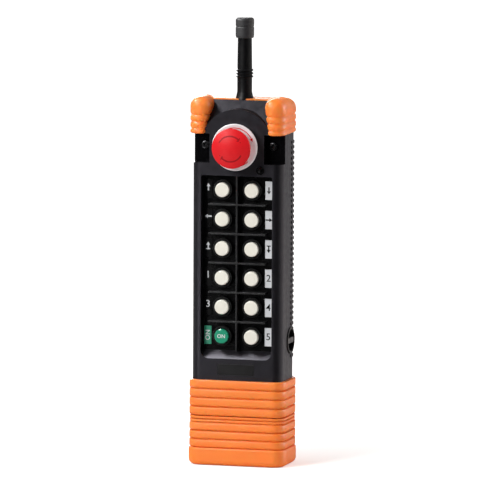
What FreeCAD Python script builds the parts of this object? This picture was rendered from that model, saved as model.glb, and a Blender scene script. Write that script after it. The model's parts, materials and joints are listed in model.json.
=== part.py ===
"""Handheld radio remote transmitter, modelled as the pieces it comes apart into.

Millimetres. The origin is the middle of the underside, +Z runs up towards the antenna,
+X is the right-hand side, and the push buttons face -Y.
"""

import FreeCAD, Part
import math
import os
from types import SimpleNamespace

import Sketcher

Vector = FreeCAD.Vector
Rotation = FreeCAD.Rotation

ROWS = 6
SLEEVE_BANDS = 4
CELLS = 4
RING_COUNT = 3
GROOVES = 3
FULL_TURN = 360
HEX_SIDES = 6
SPRING_TURNS = 4
TOUCH = 0.01

SIZES = {
    # outer casing
    "body_width": 70.5,
    "body_depth": 40.0,
    "wall": 2.5,
    "front_corner": 7.0,
    "rear_corner": 8.0,
    "front_depth": 15.0,
    "seal_thickness": 0.6,
    "seam_gap": 0.5,
    "lower_face": 16.4,
    "brow_height": 9.4,
    "roof_margin": 5.7,
    "bevel_height": 20.0,
    "head_round": 5.0,
    "clearance": 0.3,
    "running_fit": 0.05,
    # finger notches and the screws in them
    "notch_height": 22.1,
    "notch_depth": 9.0,
    "neck_width": 42.4,
    "casing_screw_diameter": 3.0,
    "casing_screw_head": 6.0,
    "casing_screw_head_height": 2.4,
    "casing_screw_length": 18.0,
    "notch_screw_spacing": 52.8,
    "post_diameter": 7.5,
    "rear_screw_spacing": 54.0,
    "rear_screw_height": 8.5,
    "rear_screw_sink": 12.0,
    # nameplate
    "nameplate_width": 28.3,
    "nameplate_height": 8.1,
    "nameplate_thickness": 0.5,
    "nameplate_gap": 0.15,
    # status lamp in the brow below the stop button
    "lens_side": 18.4,
    "lens_diameter": 6.2,
    "lens_spigot": 4.4,
    "lens_spigot_length": 2.3,
    "lens_rim_height": 0.5,
    "lens_rim_width": 0.8,
    "lens_ledge": 0.2,
    "lens_dome": 0.7,
    # push button field
    "recess_depth": 6.5,
    "recess_corner": 6.0,
    "recess_top_corner": 1.5,
    "ramp_rise": 5.9,
    "tub_wall": 2.0,
    "column_spacing": 23.0,
    "row_spacing": 22.17,
    "row_margin_below": 16.9,
    "row_margin_above": 10.85,
    "column_margin": 16.2,
    "plate_thickness": 2.0,
    "rib_thickness": 1.3,
    "rib_height": 5.9,
    "cross_rib_length": 44.4,
    "label_width": 5.6,
    "label_height": 13.9,
    "label_thickness": 0.4,
    "label_inset": 1.3,
    # push buttons
    "button_diameter": 11.0,
    "button_crown": 0.9,
    "button_below_face": 0.1,
    "button_travel": 2.0,
    "button_edge": 0.9,
    "button_stem": 5.2,
    "bezel_wall": 1.7,
    "bezel_height": 4.1,
    # boards behind the buttons
    "board_thickness": 1.6,
    "switch_height": 2.5,
    "switch_width": 6.0,
    "board_margin": 3.0,
    "board_screw_diameter": 2.5,
    "board_screw_head": 4.6,
    "board_screw_head_height": 1.6,
    "board_screw_length": 4.5,
    "standoff_diameter": 5.0,
    "standoff_spacing": 44.0,
    "radio_width": 40.0,
    "radio_height": 105.0,
    "radio_behind": 8.0,
    "radio_screw_spacing": 32.0,
    "radio_screw_below": 35.0,
    "radio_screw_above": 8.0,
    "shield_width": 26.0,
    "shield_height": 40.0,
    "shield_depth": 3.5,
    "shield_above": 14.0,
    # stop button
    "stop_rise": 12.9,
    "boss_radius": 28.0,
    "stop_bay": 35.0,
    "stop_seal_thickness": 0.8,
    "collar_diameter": 35.4,
    "collar_foot_diameter": 31.8,
    "collar_height": 5.6,
    "collar_dish": 1.6,
    "collar_rim": 1.6,
    "barrel_diameter": 22.0,
    "barrel_front": 2.5,
    "barrel_rear": 14.0,
    "stop_nut_width": 28.0,
    "stop_nut_thickness": 4.0,
    "stop_head_diameter": 30.2,
    "stop_head_height": 20.2,
    "stop_head_rim": 2.6,
    "stop_head_dome": 4.2,
    "stop_hub_diameter": 19.0,
    "stop_hub_rest": 7.3,
    "stop_travel": 4.0,
    "stem_diameter": 14.0,
    "stem_tail": 8.0,
    "stem_spigot_length": 5.6,
    "spring_chamber": 6.0,
    "spring_wire": 1.0,
    "contact_width": 24.0,
    "contact_height": 22.0,
    "contact_depth": 11.0,
    # grip cover on the back
    "grip_thickness": 1.0,
    "grip_margin_below": 1.4,
    "grip_margin_above": 1.5,
    "grip_front_edge": 1.0,
    "grip_rib_height": 0.7,
    "grip_rib_width": 2.1,
    "grip_rib_spacing": 4.05,
    "grip_rib_wrap": 5.0,
    # power key on the right side
    "key_back": 10.8,
    "key_rise": 12.6,
    "key_flange_diameter": 20.0,
    "key_flange_thickness": 1.9,
    "key_cup_wall": 1.0,
    "key_cup_rim": 1.6,
    "key_well_depth": 7.9,
    "key_cup_floor": 2.0,
    "key_disc_thickness": 1.8,
    "key_bar_width": 4.0,
    "key_bar_below_rim": 0.3,
    "key_bar_inset": 0.4,
    "key_shaft_diameter": 4.0,
    "key_shaft_reach": 4.0,
    "key_switch_diameter": 15.0,
    "key_switch_length": 11.0,
    "key_seal_width": 1.5,
    "key_seal_height": 1.4,
    # rubber bumpers
    "rubber": 1.75,
    "lobe_proud": 3.5,
    "lobe_depth": 29.5,
    "lobe_stand_out": 0.15,
    "lobe_rise": 3.0,
    "lobe_width_top": 16.0,
    "lobe_width_bottom": 12.3,
    "lobe_soft_top": 7.4,
    "lobe_soft_bottom": 3.6,
    "lobe_outer_corner": 8.0,
    "lobe_crown": 7.6,
    "lobe_round": 7.2,
    "groove_depth": 0.8,
    "groove_width": 2.8,
    "groove_first": 3.6,
    "groove_spacing": 5.2,
    "hood_thickness": 1.0,
    "hood_crown": 8.0,
    "hood_round": 7.8,
    "sleeve_height": 26.9,
    "boot_rubber": 2.45,
    "band_depth": 1.0,
    "band_gap": 0.4,
    "lip_proud": 0.7,
    "slit_spacing": 45.0,
    "slit_width": 1.4,
    "slit_height": 1.8,
    "slit_rise": 2.0,
    "slit_depth": 0.5,
    # antenna
    "antenna_back": 21.5,
    "antenna_base_diameter": 14.0,
    "antenna_base_height": 2.2,
    "antenna_flare": 12.9,
    "antenna_flare_height": 3.6,
    "antenna_lower_diameter": 11.2,
    "antenna_upper_diameter": 10.6,
    "antenna_ring_diameter": 13.1,
    "antenna_ring_height": 16.4,
    "antenna_ring_spacing": 2.4,
    "antenna_tip_height": 46.5,
    "antenna_tip_length": 15.2,
    "antenna_tip_diameter": 14.0,
    "antenna_tip_overlap": 8.0,
    "tip_groove_depth": 0.4,
    "conductor_diameter": 2.4,
    "connector_diameter": 6.4,
    "connector_rise": 6.0,
    "connector_drop": 10.0,
    "connector_nut_diameter": 10.0,
    "connector_nut_thickness": 2.4,
    "lead_diameter": 1.8,
    "lead_run": 4.0,
    "lead_bend": 4.0,
    # battery end
    "cap_height": 37.6,
    "boot_floor": 2.5,
    "boot_round": 4.5,
    "boot_extra": 0.5,
    "boot_inset": 5.0,
    "base_band": 13.5,
    "boot_band": 6.4,
    "boot_lip": 2.45,
    "neck_over_cells": 0.1,
    "neck_wall": 1.95,
    "cap_base": 3.0,
    "cell_diameter": 14.5,
    "cell_length": 49.5,
    "cell_nub": 1.0,
    "cell_nub_diameter": 5.4,
    "cell_spacing": 15.0,
    "holder_wall": 1.0,
    "holder_end": 0.7,
    "holder_base": 1.0,
    "strip_thickness": 0.5,
    "strip_width": 8.0,
    "cap_seal_height": 2.4,
    "cap_seal_depth": 1.0,
    "cap_seal_drop": 6.0,
    "terminal_gap": 4.6,
    "contact_pin_diameter": 4.0,
    "contact_base_diameter": 6.0,
    "contact_base_height": 1.5,
    "ledge_width": 3.0,
    "ledge_height": 2.4,
    "ledge_length": 16.0,
}

doc = FreeCAD.newDocument("radio_remote_transmitter")
sheet = doc.addObject("Spreadsheet::Sheet", "Sizes")


class Size:
    """A length: its value, and the expression that ties it to the sheet."""

    def __init__(self, value, text):
        self.value = value
        self.text = text

    def __add__(self, other):
        other = as_size(other)
        return Size(self.value + other.value, "(%s + %s)" % (self.text, other.text))

    __radd__ = __add__

    def __sub__(self, other):
        other = as_size(other)
        return Size(self.value - other.value, "(%s - %s)" % (self.text, other.text))

    def __rsub__(self, other):
        return as_size(other) - self

    def __mul__(self, other):
        other = as_size(other)
        return Size(self.value * other.value, "(%s * %s)" % (self.text, other.text))

    __rmul__ = __mul__

    def __truediv__(self, other):
        other = as_size(other)
        return Size(self.value / other.value, "(%s / %s)" % (self.text, other.text))

    def __neg__(self):
        return Size(-self.value, "(-%s)" % self.text)


def as_size(number):
    if isinstance(number, Size):
        return number
    return Size(float(number), repr(float(number)))


def smaller(first, second):
    return Size(min(first.value, second.value), "min(%s; %s)" % (first.text, second.text))


def square_root(number):
    """Square root, taken as zero below zero."""
    return Size(math.sqrt(max(number.value, 0.0)), "sqrt(max(%s; 0))" % number.text)


def fill_sheet():
    """Write every driving size into its own named cell."""
    named = {}
    for row, (name, value) in enumerate(SIZES.items(), start=1):
        sheet.set("A%d" % row, name)
        sheet.set("B%d" % row, str(value))
        sheet.setAlias("B%d" % row, name)
        named[name] = Size(value, "Sizes.%s" % name)
    doc.recompute()
    return SimpleNamespace(**named)


s = fill_sheet()

# Shared places, worked out from the driving sizes
half_width = s.body_width / 2
front_y = -s.body_depth / 2
rear_y = s.body_depth / 2
parting_front = front_y + s.front_depth
parting_rear = parting_front + s.seal_thickness
key_floor = front_y + s.recess_depth
plate_back = key_floor + s.plate_thickness
board_front = plate_back + s.clearance + s.button_travel + s.clearance + s.switch_height
board_back = board_front + s.board_thickness

housing_bottom = s.cap_height + s.seam_gap
sleeve_top = housing_bottom + s.sleeve_height
recess_bottom = sleeve_top + s.lower_face
bottom_row = recess_bottom + s.row_margin_below
top_row = bottom_row + s.row_spacing * (ROWS - 1)
recess_top = top_row + s.row_margin_above
notch_bottom = recess_top + s.brow_height
notch_top = notch_bottom + s.notch_height
stop_z = notch_bottom + s.stop_rise
body_top = stop_z + s.boss_radius + s.roof_margin
lobe_top = body_top + s.lobe_rise
lobe_shoulder = lobe_top - s.lobe_crown
hood_top = body_top + s.hood_thickness
hood_shoulder = hood_top - s.hood_crown
lower_cavity_top = notch_bottom - s.wall
lens_z = (recess_top + notch_bottom) / 2

recess_half = s.column_spacing / 2 + s.column_margin
column_x = s.column_spacing / 2
notch_floor = front_y + s.notch_depth
notch_screw_x = s.notch_screw_spacing / 2
rear_screw_x = s.rear_screw_spacing / 2
rear_screw_z = sleeve_top + s.rear_screw_height
antenna_y = front_y + s.antenna_back
radio_top = body_top - s.connector_drop - s.lead_run + s.lead_diameter
radio_front = front_y + s.barrel_rear + s.contact_depth + s.radio_behind - s.contact_depth / 2
radio_back = radio_front + s.board_thickness
grip_bottom = recess_bottom - s.grip_margin_below
grip_top = notch_top - s.grip_margin_above
key_y = parting_rear + s.key_back
key_z = recess_bottom + s.key_rise
neck_half = half_width - s.wall - s.clearance
neck_front = front_y + s.wall + s.clearance
neck_rear = rear_y - s.wall - s.clearance
cell_bottom = s.boot_floor + s.cap_base + s.holder_base + s.strip_thickness
cell_top = cell_bottom + s.cell_length + s.cell_nub
neck_top = cell_top + s.neck_over_cells
terminal_bottom = neck_top + s.terminal_gap

PLANE_ROLES = {"XY": "XY_Plane", "XZ": "XZ_Plane", "YZ": "YZ_Plane"}
AXIS_ROLES = {"X": "X_Axis", "Z": "Z_Axis"}
ALONG_NORMAL = {"up": True, "front": True, "right": True, "down": False, "back": False, "left": False}
FACING = {
    "up": Rotation(),
    "front": Rotation(Vector(1, 0, 0), 90),
    "right": Rotation(Vector(0, 1, 0), 90),
}


# Sketches

def origin_feature(body, role):
    return next(feature for feature in body.Origin.OriginFeatures if feature.Role == role)


def sketch_on(body, plane, level=0):
    """Sketch on an origin plane of the body, moved to level along X, Y or Z."""
    sketch = body.newObject("Sketcher::SketchObject", body.Name + "_sketch")
    sketch.AttachmentSupport = [(origin_feature(body, PLANE_ROLES[plane]), "")]
    sketch.MapMode = "FlatFace"
    level = as_size(level)
    along_normal = -level if plane == "XZ" else level
    sketch.setExpression("AttachmentOffset.Base.z", along_normal.text)
    return sketch


def tie_point(sketch, geometry, end, x, y):
    """Hold one end of an edge at a place measured from the sketch's origin."""
    for kind, size in (("DistanceX", x), ("DistanceY", y)):
        index = sketch.addConstraint(Sketcher.Constraint(kind, -1, 1, geometry, end, size.value))
        sketch.setExpression("Constraints[%d]" % index, size.text)


def arc_between(start, end, radius):
    """Minor arc that runs counter-clockwise from start to end."""
    chord = end - start
    half = chord.Length / 2
    rise = math.sqrt(max(radius * radius - half * half, 0.0))
    left = Vector(-chord.y, chord.x, 0).normalize()
    centre = (start + end) * 0.5 + left * rise
    first = math.atan2(start.y - centre.y, start.x - centre.x)
    last = math.atan2(end.y - centre.y, end.x - centre.x)
    if last < first:
        last += 2 * math.pi
    return Part.ArcOfCircle(Part.Circle(centre, Vector(0, 0, 1), radius), first, last)


def outline(sketch, corners, closed=True):
    """Join corners (x, y) counter-clockwise. A third value is the radius of the arc to the next
    corner: above zero it bulges outwards, below zero inwards."""
    corners = [tuple(as_size(number) for number in corner) for corner in corners]
    count = len(corners)
    edges = []
    for i in range(count if closed else count - 1):
        corner = corners[i]
        following = corners[(i + 1) % count]
        start = Vector(corner[0].value, corner[1].value, 0)
        end = Vector(following[0].value, following[1].value, 0)
        if len(corner) == 2:
            edge = sketch.addGeometry(Part.LineSegment(start, end))
            edges.append((edge, 1, 2))
            continue
        radius = corner[2]
        if radius.value > 0:
            edge = sketch.addGeometry(arc_between(start, end, radius.value))
            edges.append((edge, 1, 2))
        else:
            radius = -radius
            edge = sketch.addGeometry(arc_between(end, start, radius.value))
            edges.append((edge, 2, 1))
        index = sketch.addConstraint(Sketcher.Constraint("Radius", edge, radius.value))
        sketch.setExpression("Constraints[%d]" % index, radius.text)
    for i, (edge, first, last) in enumerate(edges):
        tie_point(sketch, edge, first, corners[i][0], corners[i][1])
        if closed or i + 1 < len(edges):
            neighbour, neighbour_first, _ = edges[(i + 1) % len(edges)]
            sketch.addConstraint(Sketcher.Constraint("Coincident", edge, last, neighbour, neighbour_first))
        else:
            tie_point(sketch, edge, last, corners[-1][0], corners[-1][1])


def circle(sketch, x, y, diameter):
    x, y, diameter = as_size(x), as_size(y), as_size(diameter)
    centre = Vector(x.value, y.value, 0)
    index = sketch.addGeometry(Part.Circle(centre, Vector(0, 0, 1), diameter.value / 2))
    constraint = sketch.addConstraint(Sketcher.Constraint("Diameter", index, diameter.value))
    sketch.setExpression("Constraints[%d]" % constraint, diameter.text)
    tie_point(sketch, index, 3, x, y)


def rectangle(sketch, left, low, right, high):
    outline(sketch, [(left, low), (right, low), (right, high), (left, high)])


def rounded_corners(left, low, right, high, low_radius, high_radius):
    """Corners of a rectangle with one radius for its low corners and one for its high ones."""
    return [
        (left + low_radius, low),
        (right - low_radius, low, low_radius),
        (right, low + low_radius),
        (right, high - high_radius, high_radius),
        (right - high_radius, high),
        (left + high_radius, high, high_radius),
        (left, high - high_radius),
        (left, low + low_radius, low_radius),
    ]


def casing_plan(grow):
    """Plan of the whole casing, grown outwards by grow."""
    return rounded_corners(
        -half_width - grow, front_y - grow, half_width + grow, rear_y + grow,
        s.front_corner + grow, s.rear_corner + grow)


def front_plan(inset):
    """Plan of the front shell, from the parting plane round both front corners."""
    radius = s.front_corner - inset
    side = half_width - inset
    face = front_y + inset
    return [
        (-side, parting_front),
        (-side, face + radius, radius),
        (-side + radius, face),
        (side - radius, face, radius),
        (side, face + radius),
        (side, parting_front),
    ]


def rear_plan(inset):
    """Plan of the rear shell, from the parting plane round both rear corners."""
    radius = s.rear_corner - inset
    side = half_width - inset
    back = rear_y - inset
    return [
        (side, parting_rear),
        (side, back - radius, radius),
        (side - radius, back),
        (-side + radius, back, radius),
        (-side, back - radius),
        (-side, parting_rear),
    ]


def rear_band(inner_inset, outer_inset, edge):
    """Strip of even thickness round the sides and back, ending at edge."""
    outer = rear_plan(outer_inset)
    inner = rear_plan(inner_inset)
    ring = [(outer[0][0], edge)] + outer[1:5] + [(outer[5][0], edge)]
    ring.append((inner[5][0], edge))
    ring.append((inner[4][0], inner[4][1], -inner[3][2]))
    ring.append(inner[3][:2])
    ring.append((inner[2][0], inner[2][1], -inner[1][2]))
    ring.append(inner[1][:2])
    ring.append((inner[0][0], edge))
    return ring


# Features

def new_body(label):
    body = doc.addObject("PartDesign::Body", label)
    body.Label = label
    return body


def feature_on(body, kind, sketch):
    feature = body.newObject("PartDesign::" + kind, body.Name + "_" + kind.lower())
    feature.Profile = sketch
    return feature


def pad(body, sketch, length, way):
    feature = feature_on(body, "Pad", sketch)
    feature.setExpression("Length", as_size(length).text)
    feature.Reversed = not ALONG_NORMAL[way]
    return feature


def pad_across(body, sketch, length):
    feature = feature_on(body, "Pad", sketch)
    feature.SideType = "Symmetric"
    feature.setExpression("Length", as_size(length).text)
    return feature


def pocket(body, sketch, length, way):
    feature = feature_on(body, "Pocket", sketch)
    feature.setExpression("Length", as_size(length).text)
    feature.Reversed = ALONG_NORMAL[way]
    return feature


def pocket_across(body, sketch, length):
    feature = feature_on(body, "Pocket", sketch)
    feature.SideType = "Symmetric"
    feature.setExpression("Length", as_size(length).text)
    return feature


def round_top(body, block, top, radius, behind):
    """Round the edges at the top of block, except those that lie wholly in front of behind."""
    doc.recompute()
    edges = [
        "Edge%d" % number for number, edge in enumerate(block.Shape.Edges, start=1)
        if edge.BoundBox.ZMin > top.value - TOUCH and edge.BoundBox.YMax > behind.value + TOUCH
    ]
    rounding = body.newObject("PartDesign::Fillet", body.Name + "_rounding")
    rounding.Base = (block, edges)
    rounding.setExpression("Radius", radius.text)


def repeat(body, feature, axis, pitch, count):
    pattern = body.newObject("PartDesign::LinearPattern", body.Name + "_pattern")
    pattern.Originals = [feature]
    pattern.Direction = (origin_feature(body, AXIS_ROLES[axis]), [""])
    pattern.Mode = "Spacing"
    pattern.setExpression("Offset", as_size(pitch).text)
    pattern.Occurrences = count
    body.Tip = pattern
    return pattern


def sweep_round(body, kind, profile, path):
    feature = body.newObject("PartDesign::" + kind, body.Name + "_sweep")
    feature.Profile = profile
    feature.Spine = path
    return feature


def place(body, x, y, z, facing="up"):
    body.Placement = FreeCAD.Placement(Vector(), FACING[facing])
    for axis, size in (("x", x), ("y", y), ("z", z)):
        body.setExpression("Placement.Base." + axis, as_size(size).text)


def turned(label, profile):
    """Body of revolution: profile corners are (radius, height) about its own Z axis."""
    body = new_body(label)
    sketch = sketch_on(body, "XZ")
    outline(sketch, profile)
    feature = feature_on(body, "Revolution", sketch)
    feature.ReferenceAxis = (sketch, ["V_Axis"])
    feature.Angle = FULL_TURN
    return body


def mirrored_circles(sketch, x, y, diameter):
    circle(sketch, x, y, diameter)
    circle(sketch, -x, y, diameter)


# Casing

def round_head_sides(body):
    """Round the casing's head along its two upper side edges."""
    low = body_top - s.head_round
    inside = half_width - s.head_round
    corners = sketch_on(body, "XZ", front_y)
    outline(corners, [(half_width, low, s.head_round), (inside, body_top), (half_width, body_top)])
    outline(corners, [(-inside, body_top, s.head_round), (-half_width, low), (-half_width, body_top)])
    pocket(body, corners, s.body_depth, "back")


def bevel_head(body):
    """Slope the front of the casing's head back to the parting plane."""
    bevel = sketch_on(body, "YZ")
    outline(bevel, [(front_y, body_top - s.bevel_height), (parting_front, body_top), (front_y, body_top)])
    pocket_across(body, bevel, s.body_width)


def make_front_housing():
    body = new_body("front_housing")
    plan = sketch_on(body, "XY", housing_bottom)
    outline(plan, front_plan(as_size(0)))
    pad(body, plan, body_top - housing_bottom, "up")
    round_head_sides(body)
    bevel_head(body)

    boss = sketch_on(body, "XZ", parting_front)
    circle(boss, 0, stop_z, s.boss_radius * 2)
    pad(body, boss, s.front_depth, "front")

    cavity = sketch_on(body, "XY", housing_bottom)
    outline(cavity, front_plan(s.wall))
    pocket(body, cavity, lower_cavity_top - housing_bottom, "up")

    bay = sketch_on(body, "XZ", parting_front)
    rectangle(bay, -s.stop_bay / 2, lower_cavity_top - s.wall, s.stop_bay / 2, stop_z + s.stop_bay / 2)
    pocket(body, bay, s.front_depth - s.wall, "front")

    tub = sketch_on(body, "XZ", key_floor)
    outline(tub, tub_outline())
    pad(body, tub, s.recess_depth - s.wall, "front")

    recess = sketch_on(body, "XZ", front_y)
    outline(recess, rounded_corners(
        -recess_half, recess_bottom, recess_half, recess_top, s.recess_corner, s.recess_top_corner))
    pocket(body, recess, s.recess_depth, "back")

    ramp = sketch_on(body, "YZ")
    ramp_top = recess_bottom + s.ramp_rise
    outline(ramp, [(front_y, recess_bottom), (key_floor, recess_bottom), (key_floor, ramp_top)])
    pad_across(body, ramp, recess_half * 2)

    notches = sketch_on(body, "XZ", front_y)
    rectangle(notches, s.neck_width / 2, notch_bottom, half_width, notch_top)
    rectangle(notches, -half_width, notch_bottom, -s.neck_width / 2, notch_top)
    pocket(body, notches, s.notch_depth, "back")

    stop_hole = sketch_on(body, "XZ", front_y)
    circle(stop_hole, 0, stop_z, s.barrel_diameter + s.running_fit * 2)
    pocket(body, stop_hole, s.wall, "back")

    lens_hole = sketch_on(body, "XZ", front_y)
    circle(lens_hole, s.lens_side, lens_z, s.lens_spigot + s.running_fit * 2)
    pocket(body, lens_hole, s.wall, "back")

    plate_seat = sketch_on(body, "XZ", front_y)
    rectangle(plate_seat, *nameplate_box(s.nameplate_gap))
    pocket(body, plate_seat, s.nameplate_thickness, "back")

    notch_holes = sketch_on(body, "XZ", notch_floor)
    mirrored_circles(notch_holes, notch_screw_x, stop_z, s.casing_screw_diameter + s.running_fit * 2)
    pocket(body, notch_holes, s.front_depth - s.notch_depth, "back")

    posts = sketch_on(body, "XZ", parting_front)
    mirrored_circles(posts, rear_screw_x, rear_screw_z, s.post_diameter)
    pad(body, posts, s.front_depth - s.wall, "front")

    pilots = sketch_on(body, "XZ", parting_front)
    mirrored_circles(pilots, rear_screw_x, rear_screw_z, s.casing_screw_diameter + s.running_fit * 2)
    pocket(body, pilots, s.front_depth - s.wall, "front")
    return body


def tub_outline():
    """Outer edge of the wall round the button recess, which the plate under it shares."""
    grow = s.tub_wall
    return rounded_corners(
        -recess_half - grow, recess_bottom - grow, recess_half + grow, recess_top + grow,
        s.recess_corner + grow, s.recess_top_corner + grow)


def nameplate_box(gap):
    half = s.nameplate_width / 2 + gap
    middle = (sleeve_top + recess_bottom) / 2
    tall = s.nameplate_height / 2 + gap
    return -half, middle - tall, half, middle + tall


def make_rear_housing():
    body = new_body("rear_housing")
    plan = sketch_on(body, "XY", housing_bottom)
    outline(plan, rear_plan(as_size(0)))
    block = pad(body, plan, body_top - housing_bottom, "up")
    round_top(body, block, body_top, s.head_round, parting_rear)

    cavity = sketch_on(body, "XY", housing_bottom)
    outline(cavity, rear_plan(s.wall))
    pocket(body, cavity, body_top - s.wall - housing_bottom, "up")

    grip_seat = sketch_on(body, "XY", grip_bottom)
    outline(grip_seat, rear_band(s.grip_thickness, as_size(0), parting_rear + s.grip_front_edge))
    pocket(body, grip_seat, grip_top - grip_bottom, "up")

    key_seat = sketch_on(body, "YZ", half_width)
    circle(key_seat, key_y, key_z, s.key_flange_diameter + s.running_fit * 2)
    pocket(body, key_seat, s.grip_thickness, "left")

    key_hole = sketch_on(body, "YZ", half_width)
    circle(key_hole, key_y, key_z, key_cup_outer() + s.running_fit * 2)
    pocket(body, key_hole, s.rear_corner, "left")

    antenna_hole = sketch_on(body, "XY", body_top)
    circle(antenna_hole, 0, antenna_y, s.connector_diameter + s.running_fit * 2)
    pocket(body, antenna_hole, s.wall, "down")

    inner_depth = rear_y - s.wall - parting_rear
    posts = sketch_on(body, "XZ", parting_rear)
    mirrored_circles(posts, notch_screw_x, stop_z, s.post_diameter)
    mirrored_circles(posts, rear_screw_x, rear_screw_z, s.post_diameter)
    pad(body, posts, inner_depth, "back")

    pilots = sketch_on(body, "XZ", parting_rear)
    mirrored_circles(pilots, notch_screw_x, stop_z, s.casing_screw_diameter + s.running_fit * 2)
    mirrored_circles(pilots, rear_screw_x, rear_screw_z, s.casing_screw_diameter + s.running_fit * 2)
    pocket(body, pilots, inner_depth, "back")

    sinks = sketch_on(body, "XZ", rear_y)
    mirrored_circles(sinks, rear_screw_x, rear_screw_z, s.casing_screw_head + s.running_fit * 2)
    pocket(body, sinks, s.rear_screw_sink, "front")

    radio_posts = sketch_on(body, "XZ", radio_back)
    for z in radio_screw_heights():
        mirrored_circles(radio_posts, s.radio_screw_spacing / 2, z, s.standoff_diameter)
    pad(body, radio_posts, rear_y - s.wall - radio_back, "back")

    radio_pilots = sketch_on(body, "XZ", radio_back)
    for z in radio_screw_heights():
        mirrored_circles(
            radio_pilots, s.radio_screw_spacing / 2, z, s.board_screw_diameter + s.running_fit * 2)
    pocket(body, radio_pilots, s.board_screw_length, "back")

    ledges = sketch_on(body, "XY", terminal_bottom + s.board_thickness)
    inside = half_width - s.wall
    rectangle(ledges, inside - s.ledge_width, -s.ledge_length / 4, inside, s.ledge_length * 3 / 4)
    rectangle(ledges, -inside, -s.ledge_length / 4, -inside + s.ledge_width, s.ledge_length * 3 / 4)
    pad(body, ledges, s.ledge_height, "up")
    return body


def radio_screw_heights():
    return radio_top - s.radio_height + s.radio_screw_above, radio_top - s.radio_screw_below


def make_housing_seal():
    body = new_body("housing_seal")
    ring = sketch_on(body, "XZ", parting_rear)
    inside = half_width - s.wall
    low = body_top - s.head_round
    flat = half_width - s.head_round
    outline(ring, [
        (half_width, housing_bottom), (half_width, low, s.head_round), (flat, body_top),
        (-flat, body_top, s.head_round), (-half_width, low), (-half_width, housing_bottom),
        (-inside, housing_bottom), (-inside, body_top - s.wall),
        (inside, body_top - s.wall), (inside, housing_bottom),
    ])
    pad(body, ring, s.seal_thickness, "front")
    return body


def make_grip_cover():
    """Ribbed skin round the sides and back, with a round gap for the power key."""
    body = new_body("grip_cover")
    edge = parting_rear + s.grip_front_edge
    skin = sketch_on(body, "XY", grip_bottom)
    outline(skin, rear_band(s.grip_thickness, as_size(0), edge))
    pad(body, skin, grip_top - grip_bottom, "up")

    rib = sketch_on(body, "XY", grip_bottom + (s.grip_rib_spacing - s.grip_rib_width) / 2)
    outline(rib, rear_band(as_size(0), -s.grip_rib_height, rear_y - s.rear_corner - s.grip_rib_wrap))
    first_rib = pad(body, rib, s.grip_rib_width, "up")
    count = int((grip_top.value - grip_bottom.value) / s.grip_rib_spacing.value)
    repeat(body, first_rib, "Z", s.grip_rib_spacing, count)

    key_gap = sketch_on(body, "YZ", half_width + s.grip_rib_height)
    circle(key_gap, key_y, key_z, s.key_flange_diameter + s.clearance * 2)
    pocket(body, key_gap, s.grip_rib_height + s.rear_corner, "left")
    return body


def make_screws(label, x, z, level, way):
    """Pair of casing screws: heads on the level, shanks running the other way."""
    body = new_body(label)
    heads = sketch_on(body, "XZ", level)
    mirrored_circles(heads, x, z, s.casing_screw_head)
    pad(body, heads, s.casing_screw_head_height, way)
    shanks = sketch_on(body, "XZ", level)
    mirrored_circles(shanks, x, z, s.casing_screw_diameter)
    pad(body, shanks, s.casing_screw_length, "back" if way == "front" else "front")
    return body


def make_nameplate():
    body = new_body("nameplate")
    face = sketch_on(body, "XZ", front_y + s.nameplate_thickness)
    rectangle(face, *nameplate_box(as_size(0)))
    pad(body, face, s.nameplate_thickness, "front")
    return body


# Rubber bumpers

def make_head_form():
    """Outside of the casing's head with the antenna's foot on it, which the bumper is moulded over."""
    body = new_body("head_form")
    plan = sketch_on(body, "XY", notch_top - s.wall)
    outline(plan, casing_plan(as_size(0)))
    block = pad(body, plan, body_top - notch_top + s.wall, "up")
    round_top(body, block, body_top, s.head_round, front_y - s.wall)
    bevel_head(body)
    boss = sketch_on(body, "XZ", parting_front)
    circle(boss, 0, stop_z, s.boss_radius * 2)
    pad(body, boss, s.front_depth, "front")
    foot = sketch_on(body, "XY", body_top)
    circle(foot, 0, antenna_y, s.antenna_base_diameter + s.running_fit * 2)
    pad(body, foot, s.hood_thickness * 2, "up")
    return body


def lobe_plan(level, inset):
    """Plan of the right-hand lobe; its inner side leans and its inner corners soften with the height."""
    lean = (level - notch_top) / (lobe_shoulder - notch_top)
    width = s.lobe_width_bottom + (s.lobe_width_top - s.lobe_width_bottom) * lean
    side = half_width + s.rubber + s.lobe_stand_out
    inner = side - width + inset
    outer = side - inset
    soft = s.lobe_soft_bottom + (s.lobe_soft_top - s.lobe_soft_bottom) * lean - inset
    hard = s.lobe_outer_corner - inset
    face = front_y - s.lobe_proud + inset
    back = front_y - s.lobe_proud + s.lobe_depth - inset
    return [
        (outer, back - hard, hard),
        (outer - hard, back),
        (inner + soft, back, soft),
        (inner, back - soft),
        (inner, face + soft, soft),
        (inner + soft, face),
        (outer - hard, face, hard),
        (outer, face + hard),
    ]


def hood_plan(level, inset):
    """Plan of the hood over the roof, sides and back of the head; only the inset changes with the level."""
    side = half_width + s.rubber - inset
    back = rear_y + s.rubber - inset
    radius = s.rear_corner + s.rubber - inset
    return [
        (side, parting_front),
        (side, back - radius, radius),
        (side - radius, back),
        (-side + radius, back, radius),
        (-side, back - radius),
        (-side, parting_front),
    ]


def groove_levels(shoulder):
    """Heights of the rubber's sections with how far each is drawn in: foot, grooves, shoulder."""
    flush = as_size(0)
    levels = [(notch_top, s.groove_depth), (notch_top + s.groove_depth, flush)]
    for i in range(GROOVES):
        middle = notch_top + s.groove_first + s.groove_spacing * i
        levels.append((middle - s.groove_width / 2, flush))
        levels.append((middle, s.groove_depth))
        levels.append((middle + s.groove_width / 2, flush))
    return levels + [(shoulder, flush)]


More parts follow.
